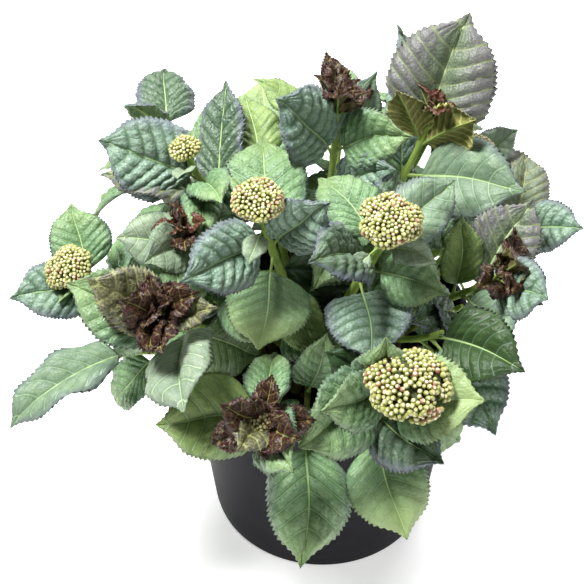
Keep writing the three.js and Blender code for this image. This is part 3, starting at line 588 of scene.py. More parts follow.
def grid_for(veins):
    """Index pattern of a closed blade: upper and lower sheets that share margin, base and tip."""
    if veins in _grids:
        return _grids[veins]
    rows, lift, gap, is_vein = rows_for(veins)
    count = len(rows)
    columns = np.arange(-HALF, HALF + 1)
    width = len(columns)
    top = np.full((count, width), -1)
    low = np.full((count, width), -1)
    top[0, :] = low[0, :] = 0
    top[-1, :] = low[-1, :] = 1
    serial = 2
    for i in range(1, count - 1):
        for j in range(width):
            top[i, j] = serial
            serial += 1
            if j in (0, width - 1):
                low[i, j] = top[i, j]
            else:
                low[i, j] = serial
                serial += 1
    faces, kinds = [], []
    for sheet, flip in ((top, False), (low, True)):
        for i in range(count - 1):
            for j in range(width - 1):
                a, b, c, d = sheet[i, j], sheet[i, j + 1], sheet[i + 1, j + 1], sheet[i + 1, j]
                step = max(abs(columns[j]), abs(columns[j + 1]))
                kind = "rib" if step == 1 else "vein" if is_vein[i] and step <= HALF - 2 else "blade"
                for tri in ((a, b, c), (a, c, d)):
                    if len(set(tri)) == 3:
                        faces.append(tri[::-1] if flip else tri)
                        kinds.append((kind, flip))
    _grids[veins] = (rows, lift, gap, top, low, serial, np.array(faces), kinds)
    return _grids[veins]


def width_curve(u):
    """The blade's smooth half width, as a share of its greatest."""
    slope = np.gradient(SHOWN_W, BLADE_U)
    slope[3] = 0
    i = np.clip(np.searchsorted(BLADE_U, u, side="right") - 1, 0, len(BLADE_U) - 2)
    h = BLADE_U[i + 1] - BLADE_U[i]
    t = (u - BLADE_U[i]) / h
    w = ((2 * t**3 - 3 * t**2 + 1) * SHOWN_W[i] + (t**3 - 2 * t**2 + t) * h * slope[i]
         + (-2 * t**3 + 3 * t**2) * SHOWN_W[i + 1] + (t**3 - t**2) * h * slope[i + 1])
    return np.maximum(w, 0)


# How strongly each colour of leaf is quilted, toothed, waved and crumpled, in shares of the usual.
HABIT = {
    "green": (1.0, 1.0, 1.0, 0.5), "blue": (1.5, 1.0, 0.9, 0.5), "light": (0.6, 1.0, 0.9, 0.4),
    "pale": (0.5, 0.8, 1.3, 0.5), "dark": (1.4, 1.2, 1.1, 0.6), "maroon": (1.5, 2.2, 2.4, 2.4),
    "ruby": (1.5, 2.2, 2.4, 2.4), "under": (1.0, 1.4, 1.2, 0.8), "deep": (0.8, 1.0, 1.0, 0.5),
    "net": (1.2, 1.2, 0.9, 0.5), "sun": (0.7, 0.9, 1.1, 0.5), "mist": (0.5, 0.9, 1.6, 0.6),
    "moss": (0.6, 0.9, 1.2, 0.5), "dusk": (1.0, 1.2, 1.2, 0.8), "forest": (1.0, 1.0, 1.0, 0.5),
}


def vein_pairs(leaf):
    """Small leaves, and the leaves inside the plant painted with shade, have fewer pairs of side veins."""
    if leaf["long"] < SMALL_LEAF:
        return FEW_VEINS
    if leaf["long"] < MIDDLE_LEAF or leaf["tone"] == "deep":
        return SOME_VEINS
    return ALL_VEINS


def blade_points(leaf, sizes, dice):
    """The vertices of one closed blade, its grid, its spine and the values that its colours follow."""
    rows, lift, gap, top, low, serial, faces, kinds = grid_for(vein_pairs(leaf))
    count = len(rows)
    long, scale = leaf["long"], leaf["long"] / FULL_LEAF
    quilt, teeth, wave, crumple = HABIT[leaf["tone"]]
    spine = spine_of(leaf, FINE_STALK, FINE_BLADE)
    s_blade = np.linspace(0, 1, FINE_BLADE + 1)

    step = np.abs(np.arange(-HALF, HALF + 1))[None, :]
    sign = np.sign(np.arange(-HALF, HALF + 1))[None, :]
    v = COLUMNS[step] * np.ones((count, 1))
    even = np.linspace(0, 1, count)
    settle = np.clip((v - 0.6) / 0.4, 0, 1)
    settle = settle * settle * (3 - 2 * settle)
    t = rows[:, None] + (even[:, None] - rows[:, None]) * settle
    u = t**MID_POWER + (t**EDGE_POWER - t**MID_POWER) * v**1.15
    full = width_curve(u) * leaf["wide"] * long
    rib = np.minimum(sizes.rib_half * 1000 * (1 - 0.8 * u) * scale**0.5, 0.3 * full)
    x = np.where(step == 0, 0, rib + (full - rib) * v)
    body = np.sqrt(np.clip(full / (leaf["wide"] * long), 0, 1))

    # teeth: every second margin point stands out and leans towards the tip
    tooth = sizes.tooth * 1000 * teeth * scale**0.7
    edge = step == HALF
    out = np.where((np.arange(count) % 2 == 1)[:, None], 1.0, -NOTCH) * np.ones_like(v)
    jag = 1 + TOOTH_STRAY * np.sin(np.arange(count) * 2.4 + dice.roll(0, 6))[:, None]
    x = x + np.where(edge, out * tooth * TOOTH_OUT * jag * body, 0)
    u = np.clip(u + np.where(edge & (out > 0), tooth / long * body, 0), 0, 1)

    # relief: pillows between the veins in staggered cells, a little different from one to the next
    mound = np.where((step + 2 * gap[:, None] + (sign > 0)) % 3 == 0, LOW_CELL, 1.0)
    mound = mound * np.clip((1 - v) * 6, 0.25, 1) * (step > 1)
    cell = np.sin(gap * 5.1 + dice.roll(0, 6))[:, None] * np.cos(step * 2.3 + dice.roll(0, 6) + sign)
    cell = 1 + CELL_STRAY * cell
    # puff, the height between the veins, also goes to the finishes: pale veins on some blades, painted shade in
    # the grooves on others.
    puff = lift[:, None] * mound * np.sqrt(body)
    relief = sizes.quilt * 1000 * quilt * scale**0.8 * puff * cell
    turn = math.radians(leaf["fold"] + dice.roll(*FOLD_STRAY))
    arch = dice.roll(*ARCH) * full * 4 * v * (1 - v)
    droop = dice.roll(*DROOP) * full * v**3
    phase = [dice.roll(0, 6.28) for _ in range(6)]
    ripple = sizes.wave * 1000 * wave * scale * v**2 * body * np.where(
        sign < 0, np.sin(u * 16 + phase[0]), np.sin(u * 13 + phase[1]))
    crush = crumple * CRUSH * scale * body * (
        np.sin(u * 21 + 5 * v * sign + phase[2]) + np.sin(u * 9 - 8 * v * sign + phase[3])) * v
    twist = dice.roll(*TWIST) * sign * x * (u - 0.25)
    end = np.clip((u - TIP_FROM) / TIP_SPAN, 0, 1) ** 2
    z = x * math.sin(turn) + arch - droop + ripple + twist + relief + crush - dice.roll(*TIP_DIP) * long * end
    flat = sign * x * math.cos(turn) + dice.roll(*SWAY) * long * np.sin(np.pi * u) ** 2
    flat = flat + dice.roll(*TIP_SWAY) * long * end

    def on_spine(values):
        return np.stack([np.interp(u, s_blade, values[FINE_STALK:, i]) for i in range(3)], -1)

    at, side, normal, ahead = (on_spine(spine[key]) for key in ("at", "side", "normal", "ahead"))
    middle = at + side * flat[..., None] + normal * z[..., None] + ahead * (TIP_REACH * long * end)[..., None]
    thick = sizes.leaf_half * 1000 * (0.7 + 0.3 * body[..., None])
    points = np.zeros((serial, 3))
    points[low.ravel()] = (middle - normal * thick).reshape(-1, 3)
    points[top.ravel()] = (middle + normal * thick).reshape(-1, 3)
    rim = np.concatenate([top[:, 0], top[:, -1]])
    points[rim] = np.concatenate([middle[:, 0], middle[:, -1]])
    points[0], points[1] = middle[0, HALF], middle[-1, HALF]
    marks = np.zeros((serial, 3))
    values = np.stack([puff, v, u], -1).reshape(-1, 3)
    marks[low.ravel()] = values
    marks[top.ravel()] = values
    return points, faces, kinds, spine, marks


# ---------------------------------------------------------------- colours and finishes
# Leaf colours: blade, side veins, midrib, lower face.
PAINTS = {
    "green": ("leaf_green", "vein_green", "rib_green", "lower_green"),
    "blue": ("leaf_blue", "vein_blue", "rib_green", "lower_green"),
    "light": ("leaf_light", "vein_light", "rib_light", "lower_green"),
    "pale": ("leaf_pale", "vein_pale", "rib_light", "lower_green"),
    "dark": ("leaf_dark", "vein_dark", "rib_green", "lower_green"),
    # Painted shade: near-black leaves inside the plant.
    "deep": ("leaf_deep", "vein_dark", "vein_dark", "lower_deep"),
    "forest": ("leaf_forest", "vein_blue", "rib_green", "lower_green"),
    "net": ("leaf_net", "vein_net", "rib_light", "lower_plum"),
    "sun": ("leaf_sun", "vein_light", "rib_light", "lower_green"),
    "mist": ("leaf_mist", "vein_mist", "rib_green", "lower_green"),
    "moss": ("leaf_moss", "vein_green", "rib_green", "lower_green"),
    "dusk": ("leaf_dusk", "vein_plum", "rib_olive", "lower_plum"),
    "maroon": ("leaf_maroon", "vein_maroon", "rib_olive", "lower_plum"),
    "ruby": ("leaf_ruby", "vein_maroon", "rib_olive", "lower_plum"),
    "under": ("leaf_plum", "vein_plum", "rib_olive", "lower_olive"),
}


# Places of the two colours and of the result among the Mix node's sockets.
MIX_FIRST, MIX_SECOND, MIX_RESULT = 6, 7, 2


def link(tree, source, name, target, socket):
    tree.links.new(source.outputs[name], target.inputs[socket])


def paint(name, first, second, roughness=0.5, patch=70.0, grain=900.0, bump=0.25, depth=0.0004,
          sheen=0.0, specular=0.4):
    """A finish whose colour drifts between two shades and whose surface has a fine grain."""
    material = bpy.data.materials.new(name)
    material.use_nodes = True
    tree = material.node_tree
    shader = tree.nodes["Principled BSDF"]
    shader.inputs["Specular IOR Level"].default_value = specular
    shader.inputs["Sheen Weight"].default_value = sheen
    shader.inputs["Sheen Roughness"].default_value = 0.4
    place = tree.nodes.new("ShaderNodeTexCoord")
    drift = tree.nodes.new("ShaderNodeTexNoise")
    drift.inputs["Scale"].default_value = patch
    drift.inputs["Detail"].default_value = 5
    drift.inputs["Roughness"].default_value = 0.62
    link(tree, place, "Object", drift, "Vector")
    ramp = tree.nodes.new("ShaderNodeValToRGB")
    ramp.color_ramp.elements[0].position = 0.36
    ramp.color_ramp.elements[1].position = 0.64
    ramp.color_ramp.elements[0].color = (*first, 1)
    ramp.color_ramp.elements[1].color = (*second, 1)
    link(tree, drift, "Fac", ramp, "Fac")
    link(tree, ramp, "Color", shader, "Base Color")
    fine = tree.nodes.new("ShaderNodeTexVoronoi")
    fine.inputs["Scale"].default_value = grain
    link(tree, place, "Object", fine, "Vector")
    gloss = tree.nodes.new("ShaderNodeMapRange")
    gloss.inputs["To Min"].default_value = roughness - 0.08
    gloss.inputs["To Max"].default_value = roughness + 0.1
    link(tree, drift, "Fac", gloss, "Value")
    link(tree, gloss, "Result", shader, "Roughness")
    relief = tree.nodes.new("ShaderNodeBump")
    relief.inputs["Strength"].default_value = bump
    relief.inputs["Distance"].default_value = depth
    relief.invert = True
    link(tree, fine, "Distance", relief, "Height")
    link(tree, relief, "Normal", shader, "Normal")
    return material


def lay_over(material, source, socket, low, high, shade, most):
    """Lays a second colour over a finish where a node's value runs from low to high."""
    tree = material.node_tree
    shader = tree.nodes["Principled BSDF"]
    under = shader.inputs["Base Color"].links[0].from_socket
    span = tree.nodes.new("ShaderNodeMapRange")
    span.interpolation_type = "SMOOTHSTEP"
    for title, number in (("From Min", low), ("From Max", high), ("To Min", 0.0), ("To Max", most)):
        span.inputs[title].default_value = number
    link(tree, source, socket, span, "Value")
    mix = tree.nodes.new("ShaderNodeMix")
    mix.data_type = "RGBA"
    mix.inputs[MIX_SECOND].default_value = (*shade[:3], 1)
    link(tree, span, "Result", mix, "Factor")
    tree.links.new(under, mix.inputs[MIX_FIRST])
    link(tree, mix, MIX_RESULT, shader, "Base Color")


def blend_in(material, attribute, low, high, shade, most=1.0):
    """Lays a colour over a leaf by one of the leaf's own attributes."""
    value = material.node_tree.nodes.new("ShaderNodeAttribute")
    value.attribute_name = attribute
    lay_over(material, value, "Fac", low, high, shade, most)


def net_in(material, scale, width, shade, most):
    """Lays a fine net over a leaf: pale small veins, or dark lines of painted shade in its small creases."""
    tree = material.node_tree
    place = next(n for n in tree.nodes if n.bl_idname == "ShaderNodeTexCoord")
    cells = tree.nodes.new("ShaderNodeTexVoronoi")
    cells.feature = "DISTANCE_TO_EDGE"
    cells.inputs["Scale"].default_value = scale
    link(tree, place, "Object", cells, "Vector")
    lay_over(material, cells, "Distance", width, 0.0, shade, most)


def shaded(colour, factor):
    return tuple(min(1.0, c * f) for c, f in zip(colour, factor))


# Each finish of a blade: its colour, roughness, sheen, grain and the strength of the grain.
LEAF_LOOKS = {
    "leaf_green": ("green", 0.46, 0.10, 420, 0.6),
    "leaf_blue": ("blue", 0.46, 0.20, 380, 0.7),
    "leaf_light": ("light", 0.48, 0.08, 460, 0.5),
    "leaf_pale": ("pale", 0.52, 0.10, 620, 0.3),
    "leaf_dark": ("dark", 0.42, 0.16, 380, 0.7),
    # Painted shade: the near-black green finish of leaves inside the plant.
    "leaf_deep": ("deep", 0.50, 0.05, 520, 0.3),
    "leaf_forest": ("forest", 0.52, 0.04, 460, 0.4),
    "leaf_net": ("net", 0.46, 0.15, 420, 0.5),
    "leaf_sun": ("sun", 0.48, 0.08, 620, 0.3),
    "leaf_mist": ("mist", 0.50, 0.12, 620, 0.3),
    # Painted shade: the darker green finish of grown leaves that sit in shade.
    "leaf_moss": ("moss", 0.46, 0.06, 460, 0.5),
    "leaf_dusk": ("dusk", 0.48, 0.12, 520, 0.4),
    "leaf_maroon": ("maroon", 0.38, 0.05, 380, 0.6),
    "leaf_ruby": ("ruby", 0.38, 0.05, 380, 0.6),
    "leaf_plum": ("plum", 0.46, 0.12, 420, 0.5),
    "lower_green": ("lower", 0.60, 0.10, 620, 0.3),
    # Painted shade: their lower face, just as dark.
    "lower_deep": ("deep", 0.6, 0.05, 620, 0.3),
    "lower_plum": ("lower_plum", 0.55, 0.08, 520, 0.4),
    "lower_olive": ("lower_olive", 0.55, 0.08, 520, 0.4),
}
# Patches of drifting colour to a metre, depth of the grain in metres, and the gloss of maroon leaves.
LEAF_PATCH, LEAF_GRAIN_DEPTH, MAROON_GLOSS = 60, 0.0010, 0.25
# Pale veins: colour, strength, how far they spread from a vein, strength of the fine net between them.
NETS = {
    "leaf_maroon": ("vein_maroon", 0.55, 0.16, 0.40),
    "leaf_ruby": ("vein_maroon", 0.3, 0.16, 0.25),
    "leaf_plum": ("vein_plum", 0.8, 0.2, 0.6),
    "leaf_net": ("vein_net", 0.6, 0.12, 0.55),
    "leaf_dusk": ("vein_plum", 0.3, 0.2, 0.25),
    "lower_olive": ("vein_olive", 0.9, 0.26, 0.12),
}
# Meshes of that net to a metre, and the width of its lines as a share of a mesh.
NET_SCALE, NET_WIDTH = 260, 0.10
# Painted shade: blades darkened beside their veins, where the grooves between the quilted mounds lie, and how
# strong it is.
PAINTED_GROOVES = {
    "leaf_blue": 0.75, "leaf_dark": 0.85, "leaf_green": 0.65, "leaf_light": 0.45, "leaf_pale": 0.4,
    "leaf_sun": 0.4, "leaf_mist": 0.45, "leaf_moss": 0.55,
}
# Colour of that painted shade as a share of the blade's, how high up the mounds between veins it begins and is
# full, then the fine net of painted shade in small creases: meshes to a metre, width of its lines and its share
# of the strength.
PAINTED_GROOVE_COLOUR = (0.26, 0.40, 0.24)
GROOVE_FROM, GROOVE_TO = 0.5, 0.05
GROOVE_SCALE, GROOVE_WIDTH, GROOVE_FINE = 300, 0.16, 0.6
# Second colours of a blade: finish, attribute, where they begin and are full, colour, strength.
# Those of the first list lie under the veins, those of the second over them.
TINTS_UNDER_VEINS = (
    ("leaf_plum", "reach", 0.45, 1.0, "dusky", 0.35),
    ("leaf_net", "reach", 0.1, 0.65, "dusky", 0.9),
    ("leaf_dusk", "reach", 0.45, 1.0, "dusky", 0.75),
)
TINTS_OVER_VEINS = (
    ("leaf_blue", "reach", 0.62, 1.0, "margin", 0.75),
    ("leaf_dark", "reach", 0.62, 1.0, "margin", 0.85),
    ("leaf_green", "reach", 0.62, 1.0, "margin", 0.25),
    ("leaf_mist", "reach", 0.62, 1.0, "margin", 0.5),
    ("leaf_maroon", "reach", 0.7, 1.0, "wine", 0.8),
    ("leaf_light", "run", 0.3, 1.0, "glow", 0.9),
    ("leaf_green", "run", 0.45, 1.0, "glow", 0.4),
)
# Finishes of raised veins and midribs, and the colour of each.
VEIN_LOOKS = {
    "vein_green": "vein", "vein_blue": "vein_blue", "vein_light": "vein_light", "vein_pale": "vein_pale",
    "vein_dark": "vein_dark", "vein_maroon": "vein_maroon", "vein_plum": "vein_plum",
    "vein_net": "vein_net", "vein_mist": "vein_mist", "rib_green": "rib", "rib_light": "rib_light",
    "rib_olive": "rib_olive",
}


def leaf_materials(colours):
    """All finishes of leaves, by name."""
    made = {}
    for name, (key, rough, sheen, grain, bump) in LEAF_LOOKS.items():
        tint = getattr(colours, key)
        made[name] = paint(name, shaded(tint, (0.72, 0.76, 0.8)), shaded(tint, (1.1, 1.08, 1.06)), rough,
                           LEAF_PATCH, grain, bump, LEAF_GRAIN_DEPTH, sheen)

    def lay_tints(rows):
        for name, attribute, begin, full, key, share in rows:
            blend_in(made[name], attribute, begin, full, getattr(colours, key), share)

    lay_tints(TINTS_UNDER_VEINS)
    for name, (key, most, spread, fine) in NETS.items():
        shade = getattr(colours, key)
        blend_in(made[name], "puff", spread, 0.0, shade, most)
        net_in(made[name], NET_SCALE, NET_WIDTH, shade, fine)
    # Painted shade: each of these blades darkens beside its veins and along a fine net of creases.
    for name, most in PAINTED_GROOVES.items():
        shade = shaded(getattr(colours, LEAF_LOOKS[name][0]), PAINTED_GROOVE_COLOUR)
        blend_in(made[name], "puff", GROOVE_FROM, GROOVE_TO, shade, most)
        net_in(made[name], GROOVE_SCALE, GROOVE_WIDTH, shade, most * GROOVE_FINE)
    lay_tints(TINTS_OVER_VEINS)
    gloss = made["leaf_maroon"].node_tree.nodes["Principled BSDF"].inputs["Specular IOR Level"]
    gloss.default_value = MAROON_GLOSS
    for name, key in VEIN_LOOKS.items():
        tint = getattr(colours, key)
        made[name] = paint(name, shaded(tint, (0.85, 0.9, 0.8)), tuple(tint), 0.5, 120, 1400, 0.15, 0.0002)
    return made


# ---------------------------------------------------------------- mesh helpers
def mesh_piece(name, points, faces, materials, indices=None, smooth=True):
    mesh = bpy.data.meshes.new(name)
    mesh.from_pydata([tuple(p) for p in np.asarray(points) * MM], [], [tuple(map(int, f)) for f in faces])
    for material in materials:
        mesh.materials.append(material)
    if indices is not None:
        mesh.polygons.foreach_set("material_index", np.asarray(indices, np.int32))
    mesh.polygons.foreach_set("use_smooth", np.full(len(mesh.polygons), smooth))
    mesh.update()
    piece = bpy.data.objects.new(name, mesh)
    bpy.context.scene.collection.objects.link(piece)
    return piece


def big_mesh(name, points, faces, materials, indices, marks):
    """Like mesh_piece, for very many triangles, with the attributes that their colours follow."""
    mesh = bpy.data.meshes.new(name)
    points = (np.asarray(points) * MM).astype(np.float32)
    faces = np.asarray(faces, np.int32)
    mesh.vertices.add(len(points))
    mesh.vertices.foreach_set("co", points.ravel())
    mesh.loops.add(faces.size)
    mesh.loops.foreach_set("vertex_index", faces.ravel())
    mesh.polygons.add(len(faces))
    mesh.polygons.foreach_set("loop_start", np.arange(0, faces.size, 3, dtype=np.int32))
    for material in materials:
        mesh.materials.append(material)
    mesh.polygons.foreach_set("material_index", np.asarray(indices, np.int32))
    mesh.polygons.foreach_set("use_smooth", np.ones(len(faces), bool))
    for title, values in zip(("puff", "reach", "run"), marks.T):
        mesh.attributes.new(title, "FLOAT", "POINT").data.foreach_set("value", values.astype(np.float32))
    mesh.update(calc_edges=True)
    mesh.validate()
    piece = bpy.data.objects.new(name, mesh)
    bpy.context.scene.collection.objects.link(piece)
    return piece


def path_curve(name, paths):
    """One curve object that holds many open paths, each with its own radii, in metres."""
    curve = bpy.data.curves.new(name, "CURVE")
    curve.dimensions = "3D"
    for points, radii in paths:
        spline = curve.splines.new("POLY")
        spline.points.add(len(points) - 1)
        for node, p, r in zip(spline.points, points, radii):
            node.co = (*(np.asarray(p) * MM), 1)
            node.radius = r * MM
    item = bpy.data.objects.new(name, curve)
    bpy.context.scene.collection.objects.link(item)
    return item


def new_tree(name, inputs):
    """An empty Geometry Nodes tree with a geometry input and the named inputs."""
    tree = bpy.data.node_groups.new(name, "GeometryNodeTree")
    tree.interface.new_socket("Geometry", in_out="INPUT", socket_type="NodeSocketGeometry")
    for title, kind, value in inputs:
        socket = tree.interface.new_socket(title, in_out="INPUT", socket_type=kind)
        if value is not None:
            socket.default_value = value
    tree.interface.new_socket("Geometry", in_out="OUTPUT", socket_type="NodeSocketGeometry")
    return tree, tree.nodes.new("NodeGroupInput"), tree.nodes.new("NodeGroupOutput")


def grown(item, tree, values, name):
    """Runs the tree on the item and returns the result as a plain mesh object."""
    modifier = item.modifiers.new(tree.name, "NODES")
    modifier.node_group = tree
    for socket in tree.interface.items_tree:
        if socket.item_type == "SOCKET" and socket.in_out == "INPUT" and socket.name in values:
            modifier[socket.identifier] = values[socket.name]
    bpy.context.view_layer.update()
    graph = bpy.context.evaluated_depsgraph_get()
    mesh = bpy.data.meshes.new_from_object(
        item.evaluated_get(graph), preserve_all_data_layers=True, depsgraph=graph)
    if not len(mesh.polygons):
        raise RuntimeError(f"{name}: the nodes made no faces")
    mesh.name = name
    item.modifiers.remove(modifier)
    piece = bpy.data.objects.new(name, mesh)
    bpy.context.scene.collection.objects.link(piece)
    bpy.data.objects.remove(item)
    return piece


def tube_tree():
    """Tubes along paths, with the paths' own radii and a little relief."""
    tree, given, result = new_tree("tubes_along_paths", [
        ("Sides", "NodeSocketInt", 12), ("Relief", "NodeSocketFloat", 0.0002),
        ("Grain", "NodeSocketFloat", 300.0), ("Finish", "NodeSocketMaterial", None),
    ])
    circle = tree.nodes.new("GeometryNodeCurvePrimitiveCircle")
    circle.inputs["Radius"].default_value = 1
    link(tree, given, "Sides", circle, "Resolution")
    tube = tree.nodes.new("GeometryNodeCurveToMesh")
    tube.inputs["Fill Caps"].default_value = True
    link(tree, given, "Geometry", tube, "Curve")
    link(tree, circle, "Curve", tube, "Profile Curve")
    if "Scale" in tube.inputs:
        link(tree, tree.nodes.new("GeometryNodeInputRadius"), "Radius", tube, "Scale")
    where = tree.nodes.new("GeometryNodeInputPosition")
    noise = tree.nodes.new("ShaderNodeTexNoise")
    noise.inputs["Detail"].default_value = 2
    link(tree, where, "Position", noise, "Vector")
    link(tree, given, "Grain", noise, "Scale")
    less = tree.nodes.new("ShaderNodeMath")
    less.operation = "SUBTRACT"
    less.inputs[1].default_value = 0.5
    link(tree, noise, "Fac", less, 0)
    size = tree.nodes.new("ShaderNodeMath")
    size.operation = "MULTIPLY"
    link(tree, less, "Value", size, 0)
    link(tree, given, "Relief", size, 1)
    out = tree.nodes.new("GeometryNodeInputNormal")
    push = tree.nodes.new("ShaderNodeVectorMath")
    push.operation = "SCALE"
    link(tree, out, "Normal", push, 0)
    link(tree, size, "Value", push, "Scale")
    move = tree.nodes.new("GeometryNodeSetPosition")
    link(tree, tube, "Mesh", move, "Geometry")
    link(tree, push, "Vector", move, "Offset")
    smooth = tree.nodes.new("GeometryNodeSetShadeSmooth")
    link(tree, move, "Geometry", smooth, "Geometry")
    real = tree.nodes.new("GeometryNodeRealizeInstances")
    link(tree, smooth, "Geometry", real, "Geometry")
    finish = tree.nodes.new("GeometryNodeSetMaterial")
    link(tree, real, "Geometry", finish, "Geometry")
    link(tree, given, "Finish", finish, "Material")
    link(tree, finish, "Geometry", result, "Geometry")
    return tree


def scatter_tree(name, poisson):
    """Copies of one or two forms spread over a surface, each turned and sized by a fixed seed."""
    tree, given, result = new_tree(name, [
        ("Form", "NodeSocketObject", None), ("Other form", "NodeSocketObject", None),
        ("Other share", "NodeSocketFloat", 0.2), ("Spacing", "NodeSocketFloat", 0.004),
        ("Density", "NodeSocketFloat", 400000.0), ("Least", "NodeSocketFloat", 0.8),
        ("Most", "NodeSocketFloat", 1.15), ("Tilt", "NodeSocketFloat", 0.25), ("Seed", "NodeSocketInt", 1),
    ])
    spread = tree.nodes.new("GeometryNodeDistributePointsOnFaces")
    spread.distribute_method = "POISSON" if poisson else "RANDOM"
    link(tree, given, "Geometry", spread, "Mesh")
    if poisson:
        link(tree, given, "Spacing", spread, "Distance Min")
        link(tree, given, "Density", spread, "Density Max")
    else:
        link(tree, given, "Density", spread, "Density")
    link(tree, given, "Seed", spread, "Seed")
    size = tree.nodes.new("FunctionNodeRandomValue")
    size.data_type = "FLOAT"
    link(tree, given, "Least", size, 2)
    link(tree, given, "Most", size, 3)
    link(tree, given, "Seed", size, "Seed")
    tip = tree.nodes.new("ShaderNodeMath")
    tip.operation = "MULTIPLY"
    tip.inputs[1].default_value = -1
    link(tree, given, "Tilt", tip, 0)
    low = tree.nodes.new("ShaderNodeCombineXYZ")
    high = tree.nodes.new("ShaderNodeCombineXYZ")
    low.inputs["Z"].default_value = -math.pi
    high.inputs["Z"].default_value = math.pi
    for axis in "XY":
        link(tree, tip, "Value", low, axis)
        link(tree, given, "Tilt", high, axis)
    turn = tree.nodes.new("FunctionNodeRandomValue")
    turn.data_type = "FLOAT_VECTOR"
    link(tree, low, "Vector", turn, 0)
    link(tree, high, "Vector", turn, 1)
    pick = tree.nodes.new("FunctionNodeRandomValue")
    pick.data_type = "BOOLEAN"
    pick.inputs["Seed"].default_value = 7
    link(tree, given, "Other share", pick, "Probability")
    rest = tree.nodes.new("FunctionNodeBooleanMath")
    rest.operation = "NOT"
    link(tree, pick, 3, rest, 0)
    join = tree.nodes.new("GeometryNodeJoinGeometry")
    for title, chooser, socket in (("Form", rest, 0), ("Other form", pick, 3)):
        form = tree.nodes.new("GeometryNodeObjectInfo")
        link(tree, given, title, form, "Object")
        copies = tree.nodes.new("GeometryNodeInstanceOnPoints")
        link(tree, spread, "Points", copies, "Points")
        link(tree, form, "Geometry", copies, "Instance")
        link(tree, chooser, socket, copies, "Selection")
        link(tree, spread, "Rotation", copies, "Rotation")
        link(tree, size, 1, copies, "Scale")
        spin = tree.nodes.new("GeometryNodeRotateInstances")
        spin.inputs["Local Space"].default_value = True
        link(tree, copies, "Instances", spin, "Instances")
        link(tree, turn, 0, spin, "Rotation")
        link(tree, spin, "Instances", join, "Geometry")
    real = tree.nodes.new("GeometryNodeRealizeInstances")
    link(tree, join, "Geometry", real, "Geometry")
    smooth = tree.nodes.new("GeometryNodeSetShadeSmooth")
    link(tree, real, "Geometry", smooth, "Geometry")
    link(tree, smooth, "Geometry", result, "Geometry")
    return tree


def lathe(profile, sides):
    """Points and quads of a turned form; a profile end on the axis becomes one point."""
    points, rows = [], []
    for r, z in profile:
        if r < 1e-6:
            rows.append([len(points)] * sides)
            points.append((0, 0, z))
        else:
            start = len(points)
            rows.append(list(range(start, start + sides)))
            for k in range(sides):
                turn = 2 * math.pi * k / sides
                points.append((r * math.cos(turn), r * math.sin(turn), z))
    faces = []
    for a, b in zip(rows, rows[1:]):
        for k in range(sides):
            m = (k + 1) % sides
            ring = [a[k], a[m], b[m], b[k]]
            ring = [p for i, p in enumerate(ring) if p not in ring[:i]]
            if len(ring) > 2:
                faces.append(ring)
    return points, faces


# ---------------------------------------------------------------- the plant, grown once
_grown = {}


def plant():
    if "shoots" not in _grown:
        _grown["shoots"] = grow_plan()
    return _grown["shoots"]


# Young leaves that crowd a tip: pairs, longest leaf, lift of the lowest and of the highest pair, width
# and colour.
TUFTS = {
    "e": (6, 44, 46, 86, 0.44, "maroon"), "g": (5, 46, 64, 86, 0.36, "maroon"),
    "h": (5, 32, 56, 86, 0.42, "ruby"), "j": (5, 36, 58, 86, 0.40, "maroon"),
    "l": (4, 42, 22, 48, 0.40, "maroon"), "m": (4, 26, 58, 86, 0.40, "ruby"),
}
TUFT_LEAST = 0.34


def tuft_leaves(shoot):
    """Small crumpled leaves in crossed pairs, shorter and more upright towards the tip."""
    if shoot["name"] not in TUFTS:
        return []
    dice = Dice(TUFT_SEED + SEED_STEP * shoot["n"])
    pairs, longest, lowest, highest, wide, tone = TUFTS[shoot["name"]]
    leaves = []
    for k in range(pairs):
        share = k / (pairs - 1)
        for side in (0, 1):
            leaves.append({
                "points": shoot["points"], "drop": 1 + 5 * share,
                "turn": 90 * k + 180 * side + dice.roll(-24, 24),
                "lift": highest + (lowest - highest) * share + dice.roll(-8, 8),
                "bend": 8 + 26 * share + dice.roll(-6, 10),
                "long": longest * (TUFT_LEAST + (1 - TUFT_LEAST) * share) * dice.roll(0.85, 1.08),
                "stalk": 3 + 3 * share, "wide": wide, "bank": dice.roll(-20, 20),
                "fold": 40 - 16 * share + dice.roll(-6, 6), "tone": tone,
            })
    return leaves


class PotSizes(bpy.types.PropertyGroup):
    foot: FloatProperty(name="Foot radius", description="Outer radius at the pot's foot", default=0.110,
                        unit="LENGTH")
    mouth: FloatProperty(name="Mouth radius", description="Outer radius at the mouth", default=0.135,
                         unit="LENGTH")
    high: FloatProperty(name="Height", description="Height of the pot", default=0.240, unit="LENGTH")
    wall: FloatProperty(name="Wall", description="Thickness of the wall", default=0.0025, unit="LENGTH")
    colour: FloatVectorProperty(name="Pot colour", description="Colour of the plastic", subtype="COLOR",
                                default=(0.0125, 0.0120, 0.0150), min=0, max=1)
    soil: FloatVectorProperty(name="Compost colour", description="Colour of damp compost", subtype="COLOR",
                              default=(0.030, 0.019, 0.012), min=0, max=1)
    crumbs: FloatProperty(name="Crumb density", description="Crumbs on a square metre of compost",
                          default=42000, min=0)


class LeafSizes(bpy.types.PropertyGroup):
    leaf_half: FloatProperty(name="Leaf half thickness", description="Half the thickness of a blade",
                             default=0.00030, precision=5, unit="LENGTH")
    rib_half: FloatProperty(name="Midrib half width", description="Half the width of the midrib at its base",
                            default=0.0010, precision=5, unit="LENGTH")
    tooth: FloatProperty(name="Tooth", description="Depth of the teeth on a full leaf", default=0.0014,
                         precision=5, unit="LENGTH")
    quilt: FloatProperty(name="Quilting", description="Height of the blade between its veins", default=0.0023,
                         precision=5, unit="LENGTH")
    wave: FloatProperty(name="Wave", description="Rise and fall of the margin", default=0.0024, precision=5,
                        unit="LENGTH")


def colour(name, text, value):
    return FloatVectorProperty(name=name, description=text, subtype="COLOR", default=value, min=0, max=1)


